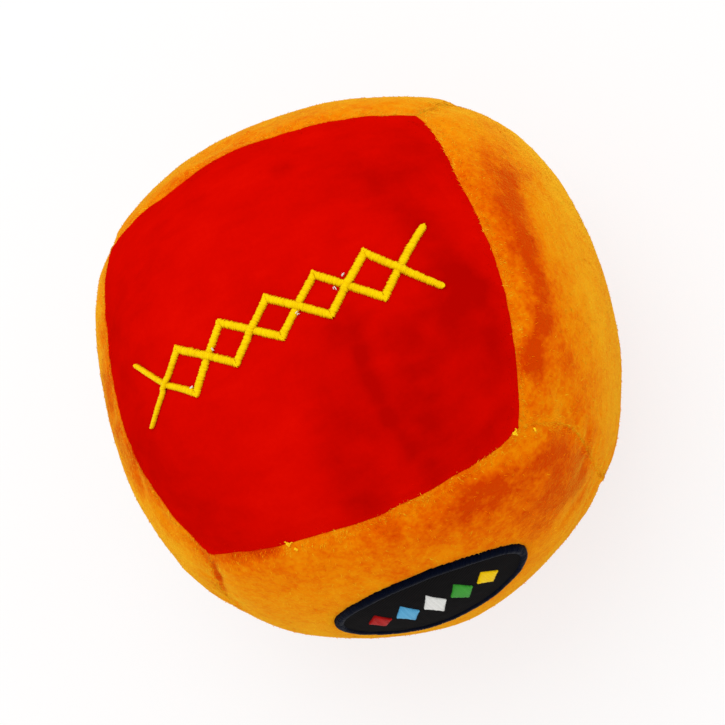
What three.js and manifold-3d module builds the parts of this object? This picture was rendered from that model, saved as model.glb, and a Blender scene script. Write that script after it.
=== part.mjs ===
// Soft medicine ball for children: a plush cover of six square panels, sewn together on the edges of a cube
// and stuffed with polyester fibre round a sewn pouch of sand. The top panel carries embroidered lacing and
// the front panel a plain oval patch. The cover is closed by hand along part of its top front seam.
// Millimetres, +Z up. The ball lies on its base panel, which its own weight presses flat at z = 0.
import * as THREE from "three";
import Module from "manifold-3d";
import { mergeVertices } from "three/addons/utils/BufferGeometryUtils.js";

// Ball
const BALL_DIAMETER = 176; // mean, over the pile
const SQUARENESS = 0.114; // how far the round form leans towards a cube
const REST_SINK = 7; // how deep the ball's weight presses its base flat
const REST_BLEND = 3; // how softly the flat base runs into the round side
const CLEARANCE = 0.35; // between neighbouring pieces

// Cover
const FABRIC = 2.4; // plush, knitted back and pile
const SEAM_PLY = 1.4; // the same plush pressed flat in a seam
const SEAM_ALLOWANCE = 9; // turned in along every edge of a panel
const SEAM_GAP = 0.3; // between the two turned-in plies
const SEAM_DRAW = 2.4; // how deep a seam pulls the surface in
const SEAM_ROLL = 6; // how far from the seam the surface starts to roll in
const OVERLOCK = 0.7; // thread that wraps the raw edges of a seam
const OVERLOCK_MARGIN = 2; // from the top of that wrap to the inside of the cover
const OVERLOCK_TRIM = 7; // from the end of that wrap to the corner of the panels
const TOP_PAST = 6; // the most that the top panel's cut runs past the cube's edge
const TOP_REACH = 16; // how far from that edge the cut shifts the panels

// Hand-sewn closing seam, along the top front edge, as a share of the half edge from its middle
const CLOSING_START = -0.41;
const CLOSING_END = 0.95;
const CLOSING_THREAD = 0.8;
const KNOT_DIAMETER = 2.2;
const KNOT_LIFT = 1.9; // from the bottom of the seam to the middle of the knot

// Embroidered lacing on the top panel
const LACING_DIAMONDS = 5;
const LACING_PITCH = 16.3; // from one crossing to the next
const LACING_RISE = 8.1; // of the upper points above the middle line
const LACING_DROP = 4.5; // of the middle diamond's lower point below that line
const LACING_SPREAD = 2.65; // how much lower the outer diamonds' lower points lie
const LEFT_STUB = 10; // how far the left free ends run on past the last crossing
const LEFT_STUB_RISE = 14; // of the upper one above the middle line
const LEFT_STUB_DROP = 10.2; // of the lower one below that line
const RIGHT_STUB = 8;
const RIGHT_STUB_RISE = 12.4;
const RIGHT_STUB_DROP = 10.4;
const LACING_WIDTH = 2.6;
const LACING_THICKNESS = 1;
const LACING_RAMP = 2.6; // length over which a strand climbs onto the one that it crosses
const LACING_RIGHT = -1; // of the lacing's middle from the panel's middle
const LACING_UP = -1.8;
const LACING_TURN = 3.3; // degrees
const BACKING = 0.6; // stabiliser behind the embroidery
const BACKING_GAP = 0.6; // from the cover's inside to the backing
const BACKING_MARGIN = 5; // round the lacing

// Oval patch on the front panel
const PATCH_LENGTH = 68;
const PATCH_HEIGHT = 41;
const PATCH_TWILL = 1;
const PATCH_BORDER_WIDTH = 3.2;
const PATCH_BORDER_THICKNESS = 1.8;
const PATCH_RIGHT = 2.5; // of the patch's middle from the panel's middle
const PATCH_UP = 18.5;

// Sand pouch
const SAND_WIDTH = 92;
const SAND_HEIGHT = 88;
const POUCH_CLOTH = 0.8;
const POUCH_ALLOWANCE = 4.5;

// How finely the round forms are cut into flat faces
const PANEL_CELLS = 10;
const OVERLOCK_STEPS = 9;
const ROUND_STEPS = 24;
const SHEET_RINGS = 5;
const EGG_STEPS = 6;
const THREAD_SIDES = 8;

// Uneven filling: where the hand-stuffed ball swells or falls short of the even form, as shares of the height
const SWELL_HEIGHT = 5;
const SWELL_SPREAD = 0.4;
const SWELLS = [
  { azimuth: 37, elevation: 8, share: 0.48 },
  { azimuth: 81, elevation: 22, share: -0.36 },
  { azimuth: 119, elevation: 20, share: 0.16 },
  { azimuth: 173, elevation: 20, share: -0.6 },
  { azimuth: 226, elevation: 4, share: -0.22 },
  { azimuth: 270, elevation: -10, share: 0.98 },
  { azimuth: 320, elevation: -13, share: -0.82 },
  { azimuth: 0, elevation: -6, share: 0.22 },
].map(({ azimuth, elevation, share }) => {
  const a = THREE.MathUtils.degToRad(azimuth);
  const e = THREE.MathUtils.degToRad(elevation);
  const towards = new THREE.Vector3(Math.cos(a) * Math.cos(e), Math.sin(a) * Math.cos(e), Math.sin(e));
  return { towards, height: share * SWELL_HEIGHT };
});

// Cut of the top panel round its edge: [azimuth, share of the most that it runs past the cube's edge]
const TOP_CUT = [
  [0, 0.28],
  [22, 0.28],
  [45, 0.5],
  [65, 0.08],
  [90, 0.13],
  [112, -0.1],
  [135, 0.45],
  [157, 0.5],
  [182, 1],
  [200, 0.75],
  [222, 0.1],
  [255, 0.05],
  [272, 0.25],
  [295, 0.15],
  [315, -0.1],
  [332, 0.25],
  [360, 0.28],
];
const topCut = new THREE.CubicInterpolant(
  TOP_CUT.map(([azimuth]) => azimuth),
  TOP_CUT.map(([, share]) => share),
  1,
);
topCut.settings = { endingStart: THREE.WrapAroundEnding, endingEnd: THREE.WrapAroundEnding };

const X = new THREE.Vector3(1, 0, 0);
const Y = new THREE.Vector3(0, 1, 0);
const Z = new THREE.Vector3(0, 0, 1);
const QUARTER = Math.PI / 4;
const EVEN_FOURTH = 0.6; // mean of x^4 + y^4 + z^4 over all directions

// Each panel looks out along its axis, with right x up = axis
const PANELS = {
  top: { axis: Z, right: X, up: Y },
  base: { axis: Z.clone().negate(), right: X, up: Y.clone().negate() },
  front: { axis: Y.clone().negate(), right: X, up: Z },
  rear: { axis: Y, right: X.clone().negate(), up: Z },
  left: { axis: X.clone().negate(), right: Y.clone().negate(), up: Z },
  right: { axis: X, right: Y, up: Z },
};

const MATERIALS = {
  redPlush: new THREE.MeshStandardMaterial({ color: 0xd90700, roughness: 0.95, metalness: 0 }),
  orangePlush: new THREE.MeshStandardMaterial({ color: 0xe87d04, roughness: 0.95, metalness: 0 }),
  yellowThread: new THREE.MeshStandardMaterial({ color: 0xfbd30b, roughness: 0.5, metalness: 0 }),
  seamThread: new THREE.MeshStandardMaterial({ color: 0xf0a818, roughness: 0.6, metalness: 0 }),
  blackTwill: new THREE.MeshStandardMaterial({ color: 0x14141a, roughness: 0.85, metalness: 0 }),
  navyThread: new THREE.MeshStandardMaterial({ color: 0x0c1226, roughness: 0.6, metalness: 0 }),
  whiteFelt: new THREE.MeshStandardMaterial({ color: 0xf2f0ea, roughness: 0.95, metalness: 0 }),
  fibre: new THREE.MeshStandardMaterial({ color: 0xf4f4f2, roughness: 1, metalness: 0 }),
  cotton: new THREE.MeshStandardMaterial({ color: 0xd9d0bd, roughness: 0.9, metalness: 0 }),
  sand: new THREE.MeshStandardMaterial({ color: 0xb59a6c, roughness: 1, metalness: 0 }),
};

// The base panel stands out by its share of the seam gap, so its flat lies that much nearer the middle
const PANEL_SHIFT = SEAM_GAP / Math.SQRT2;
const faceRadius = (BALL_DIAMETER / 2) * (1 - SQUARENESS * (1 - EVEN_FOURTH));
const REST_RADIUS = faceRadius - REST_SINK;
const CENTRE_HEIGHT = REST_RADIUS + PANEL_SHIFT;

const ball = new THREE.Group();
ball.position.set(0, 0, CENTRE_HEIGHT);

function addPiece(name, geometry, material) {
  const mesh = new THREE.Mesh(geometry, material);
  mesh.name = name;
  ball.add(mesh);
  return mesh;
}

// Points and faces of one closed surface
class Surface {
  positions = [];
  indices = [];

  point(p) {
    this.positions.push(p.x, p.y, p.z);
    return this.positions.length / 3 - 1;
  }

  quad(a, b, c, d) {
    this.indices.push(a, b, c, a, c, d);
  }

  triangle(a, b, c) {
    this.indices.push(a, b, c);
  }

  // Faces between two rings that run the same way
  band(from, to, closed) {
    const last = closed ? from.length : from.length - 1;
    for (let k = 0; k < last; k++) {
      const next = (k + 1) % from.length;
      this.quad(from[k], to[k], to[next], from[next]);
    }
  }

  geometry() {
    const made = new THREE.BufferGeometry();
    made.setAttribute("position", new THREE.Float32BufferAttribute(this.positions, 3));
    made.setIndex(this.indices);
    return made;
  }
}

// The lesser of two lengths, rounded over where they are within the blend of each other
function softLeast(a, b, blend) {
  const near = Math.max(blend - Math.abs(a - b), 0) / blend;
  return Math.min(a, b) - (near * near * blend) / 4;
}

// Distance from a point of the cover to the nearest seam plane
function seamDistance(direction, radius) {
  const [, second, first] = direction.toArray().map(Math.abs).sort((a, b) => a - b);
  return (radius * (first - second)) / Math.SQRT2;
}

// Slides a direction of the even cube down or up the side, most at the top panel's edge
function cutTop(even) {
  const { x, y, z } = even;
  const fromEdge = ((z - Math.max(Math.abs(x), Math.abs(y))) * BALL_DIAMETER) / 2 / Math.SQRT2;
  const azimuth = THREE.MathUtils.euclideanModulo(THREE.MathUtils.radToDeg(Math.atan2(y, x)), 360);
  const [share] = topCut.evaluate(azimuth);
  const past = TOP_PAST * share * Math.exp(-((fromEdge / TOP_REACH) ** 2));
  const down = even.clone().multiplyScalar(z).sub(Z).normalize();
  return even.clone().addScaledVector(down, past / (BALL_DIAMETER / 2)).normalize();
}

// Direction and radius of the cover's outside, from the ball's middle, for a direction of the even cube
function cover(even) {
  const direction = cutTop(even);
  const fourth = direction.x ** 4 + direction.y ** 4 + direction.z ** 4;
  let radius = (BALL_DIAMETER / 2) * (1 - SQUARENESS * (fourth - EVEN_FOURTH));
  for (const { towards, height } of SWELLS) {
    radius += height * Math.exp((direction.dot(towards) - 1) / SWELL_SPREAD ** 2);
  }
  const inside = Math.max(1 - seamDistance(even, radius) / SEAM_ROLL, 0);
  radius -= SEAM_DRAW * inside * inside;
  if (direction.z < 0) radius = softLeast(radius, REST_RADIUS / -direction.z, REST_BLEND);
  return { direction, radius };
}

// Direction of the even cube at a place on a panel, by its angles along right and up
function panelDirection(panel, alpha, beta) {
  return panel.axis
    .clone()
    .addScaledVector(panel.right, Math.tan(alpha))
    .addScaledVector(panel.up, Math.tan(beta))
    .normalize();
}

// A point of the cover, lifted off the pile, with the direction out of the ball there
function onCover(even, lift) {
  const { direction, radius } = cover(even);
  return { normal: direction, point: direction.clone().multiplyScalar(radius + lift) };
}

// The same by millimetres along a panel, from its middle
function onPanel(panel, u, v, lift) {
  const middle = cover(panel.axis).radius;
  return onCover(panelDirection(panel, u / middle, v / middle), lift);
}

// A section of [across, out] points carried along a path of {point, normal}, with mitred corners
function sweep(path, section, closed = false) {
  const surface = new Surface();
  const count = path.length;
  const heading = (k) => path[(k + 1) % count].point.clone().sub(path[k].point).normalize();
  const rings = path.map(({ point, normal }, k) => {
    const ahead = closed || k < count - 1 ? heading(k) : heading(k - 1);
    const behind = closed || k > 0 ? heading((k - 1 + count) % count) : ahead;
    const along = ahead.clone().add(behind).normalize();
    const side = normal.clone().cross(along).normalize();
    side.divideScalar(side.dot(normal.clone().cross(ahead).normalize()));
    return section.map(([across, out]) =>
      surface.point(point.clone().addScaledVector(side, across).addScaledVector(normal, out)),
    );
  });
  for (let k = 0; k < (closed ? count : count - 1); k++) {
    surface.band(rings[(k + 1) % count], rings[k], true);
  }
  if (!closed) {
    const outline = section.map(([across, out]) => new THREE.Vector2(across, out));
    for (const [a, b, c] of THREE.ShapeUtils.triangulateShape(outline, [])) {
      surface.triangle(rings[0][c], rings[0][b], rings[0][a]);
      surface.triangle(rings[count - 1][a], rings[count - 1][b], rings[count - 1][c]);
    }
  }
  return surface.geometry();
}

// A strand's section: flat below, crowned above
function crownedSection(width, thickness) {
  return [
    [-width / 2, 0],
    [width / 2, 0],
    [width / 2, thickness / 2],
    [width / 4, thickness],
    [-width / 4, thickness],
    [-width / 2, thickness / 2],
  ];
}

// A thin sheet that follows a panel, from one lift to another, inside an outline of [u, v] by angle
function sheet(panel, middle, outline, lower, upper) {
  const surface = new Surface();
  const shares = Array.from({ length: SHEET_RINGS }, (_, k) => 1 - k / SHEET_RINGS);
  const ringAt = (share, lift) =>
    Array.from({ length: ROUND_STEPS }, (_, k) => {
      const [u, v] = outline((2 * Math.PI * k) / ROUND_STEPS);
      return surface.point(onPanel(panel, middle[0] + share * u, middle[1] + share * v, lift).point);
    });
  const top = shares.map((share) => ringAt(share, upper));
  const bottom = shares.map((share) => ringAt(share, lower));
  const topMiddle = surface.point(onPanel(panel, ...middle, upper).point);
  const bottomMiddle = surface.point(onPanel(panel, ...middle, lower).point);
  surface.band(top[0], bottom[0], true);
  for (let k = 0; k < shares.length - 1; k++) {
    surface.band(top[k + 1], top[k], true);
    surface.band(bottom[k], bottom[k + 1], true);
  }
  for (let k = 0; k < ROUND_STEPS; k++) {
    const next = (k + 1) % ROUND_STEPS;
    surface.triangle(topMiddle, top.at(-1)[k], top.at(-1)[next]);
    surface.triangle(bottomMiddle, bottom.at(-1)[next], bottom.at(-1)[k]);
  }
  return surface.geometry();
}

// Angles of the grid lines across a panel: close together where the seam rolls in
function panelLines() {
  const roll = SEAM_ROLL / (BALL_DIAMETER / 2);
  const bend = (FABRIC + CLEARANCE) / (BALL_DIAMETER / 2);
  const inner = QUARTER - roll;
  const lines = [-QUARTER, -QUARTER + bend];
  for (let k = 0; k <= PANEL_CELLS; k++) lines.push(inner * ((2 * k) / PANEL_CELLS - 1));
  return [...lines, QUARTER - bend, QUARTER];
}

// A cover panel: a crowned skin whose four edges roll in and run on as seam allowances
function panelGeometry(panel) {
  const surface = new Surface();
  const lines = panelLines();
  const n = lines.length - 1;
  const grid = (place) =>
    lines.map((alpha, i) =>
      lines.map((beta, j) => {
        const { direction, radius } = cover(panelDirection(panel, alpha, beta));
        const onEdge = i === 0 || j === 0 || i === n || j === n;
        return surface.point(place(direction, radius, onEdge));
      }),
    );
  const acrossPly = panel.axis.clone().multiplyScalar(SEAM_PLY * Math.SQRT2);
  const along = (direction, radius) => direction.clone().multiplyScalar(radius);
  const besidePly = (direction, radius) => along(direction, radius - SEAM_PLY).add(acrossPly);
  const outside = grid(along);
  const inside = grid((direction, radius, onEdge) =>
    onEdge ? besidePly(direction, radius - FABRIC) : along(direction, radius - FABRIC),
  );
  for (let i = 0; i < n; i++) {
    for (let j = 0; j < n; j++) {
      surface.quad(outside[i][j], outside[i + 1][j], outside[i + 1][j + 1], outside[i][j + 1]);
      surface.quad(inside[i][j], inside[i][j + 1], inside[i + 1][j + 1], inside[i + 1][j]);
    }
  }

  // Once round the panel's edge: outside, down the seam, across its raw edge and up to the inside
  const rim = [];
  for (let k = 0; k < n; k++) rim.push([k, 0]);
  for (let k = 0; k < n; k++) rim.push([n, k]);
  for (let k = n; k > 0; k--) rim.push([k, n]);
  for (let k = n; k > 0; k--) rim.push([0, k]);
  const rimRing = (place) =>
    rim.map(([i, j]) => {
      const { direction, radius } = cover(panelDirection(panel, lines[i], lines[j]));
      return surface.point(place(direction, radius - SEAM_ALLOWANCE));
    });
  const rings = [
    rim.map(([i, j]) => outside[i][j]),
    rimRing(along),
    rimRing(besidePly),
    rim.map(([i, j]) => inside[i][j]),
  ];
  for (let k = 0; k < rings.length - 1; k++) surface.band(rings[k], rings[k + 1], true);
  return surface.geometry();
}

// Points along the seam between two panels, from one share of its half edge to another
function seamPath(a, b, from, to, steps, lift) {
  const across = a.axis.clone().cross(b.axis);
  return Array.from({ length: steps + 1 }, (_, k) => {
    const share = THREE.MathUtils.lerp(from, to, k / steps);
    return onCover(a.axis.clone().add(b.axis).addScaledVector(across, share).normalize(), lift);
  });
}

// Overlock thread that clasps the two raw edges of a seam
const overlockInside = SEAM_GAP / 2 + SEAM_PLY + CLEARANCE;
const overlockOutside = overlockInside + OVERLOCK;
function overlockSection() {
  const reach = SEAM_ALLOWANCE - FABRIC - OVERLOCK_MARGIN;
  const floor = -CLEARANCE;
  return [
    [-overlockOutside, floor - OVERLOCK],
    [overlockOutside, floor - OVERLOCK],
    [overlockOutside, reach],
    [overlockInside, reach],
    [overlockInside, floor],
    [-overlockInside, floor],
    [-overlockInside, reach],
    [-overlockOutside, reach],
  ];
}

function addPanels() {
  for (const [name, panel] of Object.entries(PANELS)) {
    const plush = name === "top" ? MATERIALS.redPlush : MATERIALS.orangePlush;
    const mesh = addPiece(name + "_panel", panelGeometry(panel), plush);
    mesh.position.copy(panel.axis).multiplyScalar(PANEL_SHIFT);
  }
}

function addSeams() {
  const trimmed = 1 - OVERLOCK_TRIM / (BALL_DIAMETER / 2 / Math.SQRT2);
  const names = Object.keys(PANELS);
  names.forEach((a, k) => {
    for (const b of names.slice(k + 1)) {
      if (PANELS[a].axis.dot(PANELS[b].axis) !== 0) continue;
      const closing = a === "top" && b === "front";
      const end = closing ? CLOSING_START : trimmed;
      const path = seamPath(PANELS[a], PANELS[b], -trimmed, end, OVERLOCK_STEPS, -SEAM_ALLOWANCE);
      addPiece("seam_" + a + "_" + b, sweep(path, overlockSection()), MATERIALS.seamThread);
    }
  });
}

// Thread of the hand-sewn stretch, in the groove of the seam, and the knots that end it
function addClosing() {
  const knotShare = (KNOT_DIAMETER / 2 + CLEARANCE) / (BALL_DIAMETER / 2 / Math.SQRT2);
  const { top, front } = PANELS;
  const radius = CLOSING_THREAD / 2;
  const round = Array.from({ length: THREAD_SIDES }, (_, k) => {
    const turn = (2 * Math.PI * k) / THREAD_SIDES;
    return [radius * Math.cos(turn), radius * Math.sin(turn)];
  });
  const from = CLOSING_START + knotShare;
  const to = CLOSING_END - knotShare;
  const path = seamPath(top, front, from, to, 2 * OVERLOCK_STEPS, CLEARANCE + radius);
  addPiece("closing_thread", sweep(path, round), MATERIALS.seamThread);
  const ends = { left: CLOSING_START, right: CLOSING_END };
  for (const [side, share] of Object.entries(ends)) {
    const [{ point }] = seamPath(top, front, share, share, 1, KNOT_LIFT);
    const geometry = new THREE.SphereGeometry(KNOT_DIAMETER / 2, THREAD_SIDES, THREAD_SIDES);
    addPiece("closing_knot_" + side, geometry, MATERIALS.seamThread).position.copy(point);
  }
}

// Corner points of one lacing strand, from the lacing's middle
function lacingZigzag(upwards) {
  const half = (LACING_DIAMONDS - 1) / 2;
  return Array.from({ length: LACING_DIAMONDS + 2 }, (_, k) => {
    const along = THREE.MathUtils.clamp(k - half - 1, -half, half);
    const above = (k % 2 === 1) === upwards;
    const below = LACING_DROP + LACING_SPREAD * (along / half) ** 2;
    const corner = new THREE.Vector2(along * LACING_PITCH, above ? LACING_RISE : -below);
    if (k === 0) {
      corner.x -= LACING_PITCH / 2 + LEFT_STUB;
      corner.y = above ? LEFT_STUB_RISE : -LEFT_STUB_DROP;
    } else if (k > LACING_DIAMONDS) {
      corner.x += LACING_PITCH / 2 + RIGHT_STUB;
      corner.y = above ? RIGHT_STUB_RISE : -RIGHT_STUB_DROP;
    }
    return corner;
  });
}

// Path of one lacing strand over the top panel: zigzag points, with a ramp up and down at each crossing
function lacingPath(upwards, crossingLift) {
  const zigzag = lacingZigzag(upwards);
  const other = lacingZigzag(!upwards);
  const level = LACING_WIDTH / 2 + CLEARANCE + LACING_THICKNESS / 2;
  const turn = THREE.MathUtils.degToRad(LACING_TURN);
  const offset = new THREE.Vector2(LACING_RIGHT, LACING_UP);
  const path = [];
  const add = (flat, lift) => {
    const { x, y } = flat.clone().rotateAround(new THREE.Vector2(), turn).add(offset);
    path.push(onPanel(PANELS.top, x, y, CLEARANCE + lift));
  };
  zigzag.slice(1).forEach((to, k) => {
    const from = zigzag[k];
    const apart = from.y - other[k].y;
    const crossing = from.clone().lerp(to, apart / (apart - to.y + other[k + 1].y));
    const along = to.clone().sub(from).normalize();
    const at = (distance) => crossing.clone().addScaledVector(along, distance);
    add(from, 0);
    add(at(-level - LACING_RAMP), 0);
    add(at(-level), crossingLift);
    add(at(level), crossingLift);
    add(at(level + LACING_RAMP), 0);
  });
  add(zigzag.at(-1), 0);
  return path;
}

function addLacing() {
  const section = crownedSection(LACING_WIDTH, LACING_THICKNESS);
  addPiece("lacing_under", sweep(lacingPath(false, 0), section), MATERIALS.yellowThread);
  const over = LACING_THICKNESS + CLEARANCE;
  addPiece("lacing_over", sweep(lacingPath(true, over), section), MATERIALS.yellowThread);
  const length = LACING_DIAMONDS * LACING_PITCH + LEFT_STUB + RIGHT_STUB + 2 * BACKING_MARGIN;
  const rise = Math.max(LEFT_STUB_RISE, RIGHT_STUB_RISE);
  const drop = Math.max(LEFT_STUB_DROP, RIGHT_STUB_DROP);
  const height = rise + drop + 2 * BACKING_MARGIN;
  const middle = [LACING_RIGHT + (RIGHT_STUB - LEFT_STUB) / 2, LACING_UP + (rise - drop) / 2];
  const outline = (turn) => roundedOblong(length / 2, height / 2, turn);
  const upper = -FABRIC - BACKING_GAP;
  const geometry = sheet(PANELS.top, middle, outline, upper - BACKING, upper);
  addPiece("lacing_backing", geometry, MATERIALS.whiteFelt);
}

function roundedOblong(halfLength, halfHeight, turn) {
  const rounded = (x) => Math.sign(x) * Math.sqrt(Math.abs(x));
  return [halfLength * rounded(Math.cos(turn)), halfHeight * rounded(Math.sin(turn))];
}

function ellipse(halfLength, halfHeight, turn) {
  return [halfLength * Math.cos(turn), halfHeight * Math.sin(turn)];
}

function addPatch() {
  const centreline = (turn, inset) => ellipse(PATCH_LENGTH / 2 - inset, PATCH_HEIGHT / 2 - inset, turn);
  const border = Array.from({ length: 2 * ROUND_STEPS }, (_, k) => {
    const [u, v] = centreline((Math.PI * k) / ROUND_STEPS, PATCH_BORDER_WIDTH / 2);
    return onPanel(PANELS.front, PATCH_RIGHT + u, PATCH_UP + v, CLEARANCE);
  });
  const section = crownedSection(PATCH_BORDER_WIDTH, PATCH_BORDER_THICKNESS);
  addPiece("patch_border", sweep(border, section, true), MATERIALS.navyThread);
  const outline = (turn) => centreline(turn, PATCH_BORDER_WIDTH + CLEARANCE);
  const middle = [PATCH_RIGHT, PATCH_UP];
  const geometry = sheet(PANELS.front, middle, outline, CLEARANCE, CLEARANCE + PATCH_TWILL);
  addPiece("patch_twill", geometry, MATERIALS.blackTwill);
}

// Profiles of the sand pouch, [radius, height] from the lower pole to the upper one
function egg(grow, from, to, steps) {
  return Array.from({ length: steps + 1 }, (_, k) => {
    const turn = THREE.MathUtils.lerp(from, to, k / steps);
    return [(SAND_WIDTH / 2 + grow) * Math.cos(turn), (SAND_HEIGHT / 2 + grow) * Math.sin(turn)];
  });
}

function lathe(profile) {
  const points = profile.map(([radius, height]) => new THREE.Vector2(Math.max(radius, 0), height));
  return new THREE.LatheGeometry(points, ROUND_STEPS).rotateX(Math.PI / 2);
}

const pouchInside = CLEARANCE;
const pouchOutside = CLEARANCE + POUCH_CLOTH;
const pouchRim = SAND_WIDTH / 2 + pouchOutside + POUCH_ALLOWANCE;
const rimClasp = SEAM_GAP / 2 + POUCH_CLOTH + CLEARANCE;

// One half of the pouch: a cloth bowl whose edge turns out as a flat seam allowance
function pouchBowl() {
  const low = SEAM_GAP / 2;
  const high = low + POUCH_CLOTH;
  const startOutside = Math.asin(high / (SAND_HEIGHT / 2 + pouchOutside));
  const startInside = Math.asin(low / (SAND_HEIGHT / 2 + pouchInside));
  const outside = egg(pouchOutside, startOutside, Math.PI / 2, EGG_STEPS);
  const inside = egg(pouchInside, startInside, Math.PI / 2, EGG_STEPS);
  return [...inside.reverse(), [pouchRim, low], [pouchRim, high], ...outside];
}

function addPouch() {
  addPiece("sand_fill", lathe(egg(0, -Math.PI / 2, Math.PI / 2, 2 * EGG_STEPS)), MATERIALS.sand);
  addPiece("pouch_upper", lathe(pouchBowl()), MATERIALS.cotton);
  const lower = addPiece("pouch_lower", lathe(pouchBowl()), MATERIALS.cotton);
  lower.rotation.x = Math.PI;
  const inner = pouchRim - POUCH_ALLOWANCE / 2;
  const outer = pouchRim + CLEARANCE;
  const clasp = [
    [inner, rimClasp],
    [outer, rimClasp],
    [outer, -rimClasp],
    [inner, -rimClasp],
    [inner, -rimClasp - OVERLOCK],
    [outer + OVERLOCK, -rimClasp - OVERLOCK],
    [outer + OVERLOCK, rimClasp + OVERLOCK],
    [inner, rimClasp + OVERLOCK],
    [inner, rimClasp],
  ];
  addPiece("pouch_seam", lathe(clasp), MATERIALS.cotton);
}

// Stuffing: fills the cover, lies in under its seams and leaves the hollow that holds the pouch
const wasm = await Module();
wasm.setup();

function solid(geometry) {
  const bare = geometry.clone();
  bare.deleteAttribute("normal");
  bare.deleteAttribute("uv");
  const merged = mergeVertices(bare, 1e-3);
  const vertProperties = merged.attributes.position.array;
  return new wasm.Manifold(
    new wasm.Mesh({ numProp: 3, vertProperties, triVerts: new Uint32Array(merged.index.array) }),
  );
}

function solidGeometry(manifold) {
  const { vertProperties, triVerts } = manifold.getMesh();
  const made = new THREE.BufferGeometry();
  made.setAttribute("position", new THREE.BufferAttribute(vertProperties, 3));
  made.setIndex(new THREE.BufferAttribute(triVerts, 1));
  return made;
}

function stuffingBall() {
  const surface = new Surface();
  const depth = SEAM_DRAW + SEAM_ALLOWANCE + OVERLOCK + 2 * CLEARANCE;
  const cornerRadius = (BALL_DIAMETER / 2 - depth) * Math.sqrt(2 / 3);
  const valley = QUARTER - (overlockOutside + 2 * CLEARANCE) / cornerRadius;
  const shoulder = valley - SEAM_ROLL / cornerRadius;
  const lines = [-QUARTER, -valley, -shoulder, -shoulder / 2, 0, shoulder / 2, shoulder, valley, QUARTER];
  const n = lines.length - 1;
  for (const panel of Object.values(PANELS)) {
    const underCover = FABRIC + CLEARANCE + (panel === PANELS.top ? BACKING_GAP + BACKING : 0);
    const grid = lines.map((alpha) =>
      lines.map((beta) => {
        const inValley = Math.max(Math.abs(alpha), Math.abs(beta)) > (valley + shoulder) / 2;
        const even = panelDirection(panel, alpha, beta);
        return surface.point(onCover(even, inValley ? -depth : -underCover).point);
      }),
    );
    for (let i = 0; i < n; i++) {
      for (let j = 0; j < n; j++) {
        surface.quad(grid[i][j], grid[i + 1][j], grid[i + 1][j + 1], grid[i][j + 1]);
      }
    }
  }
  return surface.geometry();
}

function pouchHollow() {
  const grow = pouchOutside + CLEARANCE;
  const slot = rimClasp + OVERLOCK + CLEARANCE;
  const reach = pouchRim + OVERLOCK + 2 * CLEARANCE;
  const start = Math.asin(slot / (SAND_HEIGHT / 2 + grow));
  const lower = egg(grow, -Math.PI / 2, -start, EGG_STEPS);
  const upper = egg(grow, start, Math.PI / 2, EGG_STEPS);
  return lathe([...lower, [reach, -slot], [reach, slot], ...upper]);
}

function addStuffing() {
  const filling = solid(stuffingBall()).subtract(solid(pouchHollow()));
  for (const [name, side] of [["upper", 1], ["lower", -1]]) {
    const half = new THREE.BoxGeometry(2 * BALL_DIAMETER, 2 * BALL_DIAMETER, BALL_DIAMETER);
    half.translate(0, 0, (side * (BALL_DIAMETER + CLEARANCE)) / 2);
    addPiece("stuffing_" + name, solidGeometry(filling.intersect(solid(half))), MATERIALS.fibre);
  }
}

addPanels();
addSeams();
addClosing();
addLacing();
addPatch();
addPouch();
addStuffing();

const part = new THREE.Group();
part.add(ball);

export default part;
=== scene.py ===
"""Looks of a soft medicine ball: the plush cover with its pile, the satin-stitched lacing, the sewn-on patch
and the filling. Shapes are worked out in millimetres from the ball's middle and keep close to the solids."""
import itertools
from math import cos, pi, radians, sin, sqrt, tau

import bmesh
import bpy
import numpy as np
from mathutils import Matrix, Vector


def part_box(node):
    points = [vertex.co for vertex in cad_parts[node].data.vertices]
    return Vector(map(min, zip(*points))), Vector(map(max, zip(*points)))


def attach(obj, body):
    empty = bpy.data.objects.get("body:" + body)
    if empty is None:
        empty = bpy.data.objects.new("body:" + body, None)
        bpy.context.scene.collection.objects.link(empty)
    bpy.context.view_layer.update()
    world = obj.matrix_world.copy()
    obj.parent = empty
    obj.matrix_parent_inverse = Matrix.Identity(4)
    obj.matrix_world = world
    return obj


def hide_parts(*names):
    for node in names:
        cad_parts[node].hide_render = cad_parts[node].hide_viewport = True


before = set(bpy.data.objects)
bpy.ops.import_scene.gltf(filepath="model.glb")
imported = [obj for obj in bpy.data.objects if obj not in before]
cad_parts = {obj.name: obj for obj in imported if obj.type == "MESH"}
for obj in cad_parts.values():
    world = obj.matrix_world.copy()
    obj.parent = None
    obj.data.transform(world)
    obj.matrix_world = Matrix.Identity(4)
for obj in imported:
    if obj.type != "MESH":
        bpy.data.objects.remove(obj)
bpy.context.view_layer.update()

MM = 0.001
TINY = 1e-6
NEARLY_ONE = 0.999

# Ball, as the solids have it
BALL_RADIUS = 88.0
SQUARENESS = 0.114
EVEN_FOURTH = 0.6
REST_SINK = 7.0
REST_BLEND = 3.0
REST_FROM = 0.1
SWELL_SPREAD = 0.4
SWELLS = [  # azimuth and elevation in degrees, height
    (37, 8, 2.4), (81, 22, -1.8), (119, 20, 0.8), (173, 20, -3.0),
    (226, 4, -1.1), (270, -10, 4.9), (320, -13, -4.1), (0, -6, 1.1),
]
REST_RADIUS = BALL_RADIUS * (1 - SQUARENESS * (1 - EVEN_FOURTH)) - REST_SINK

# The pouch's seam lies on the ball's middle plane
pouch_low, pouch_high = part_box("pouch_seam")
CENTRE = np.array([0, 0, (pouch_low.z + pouch_high.z) / 2])

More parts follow.
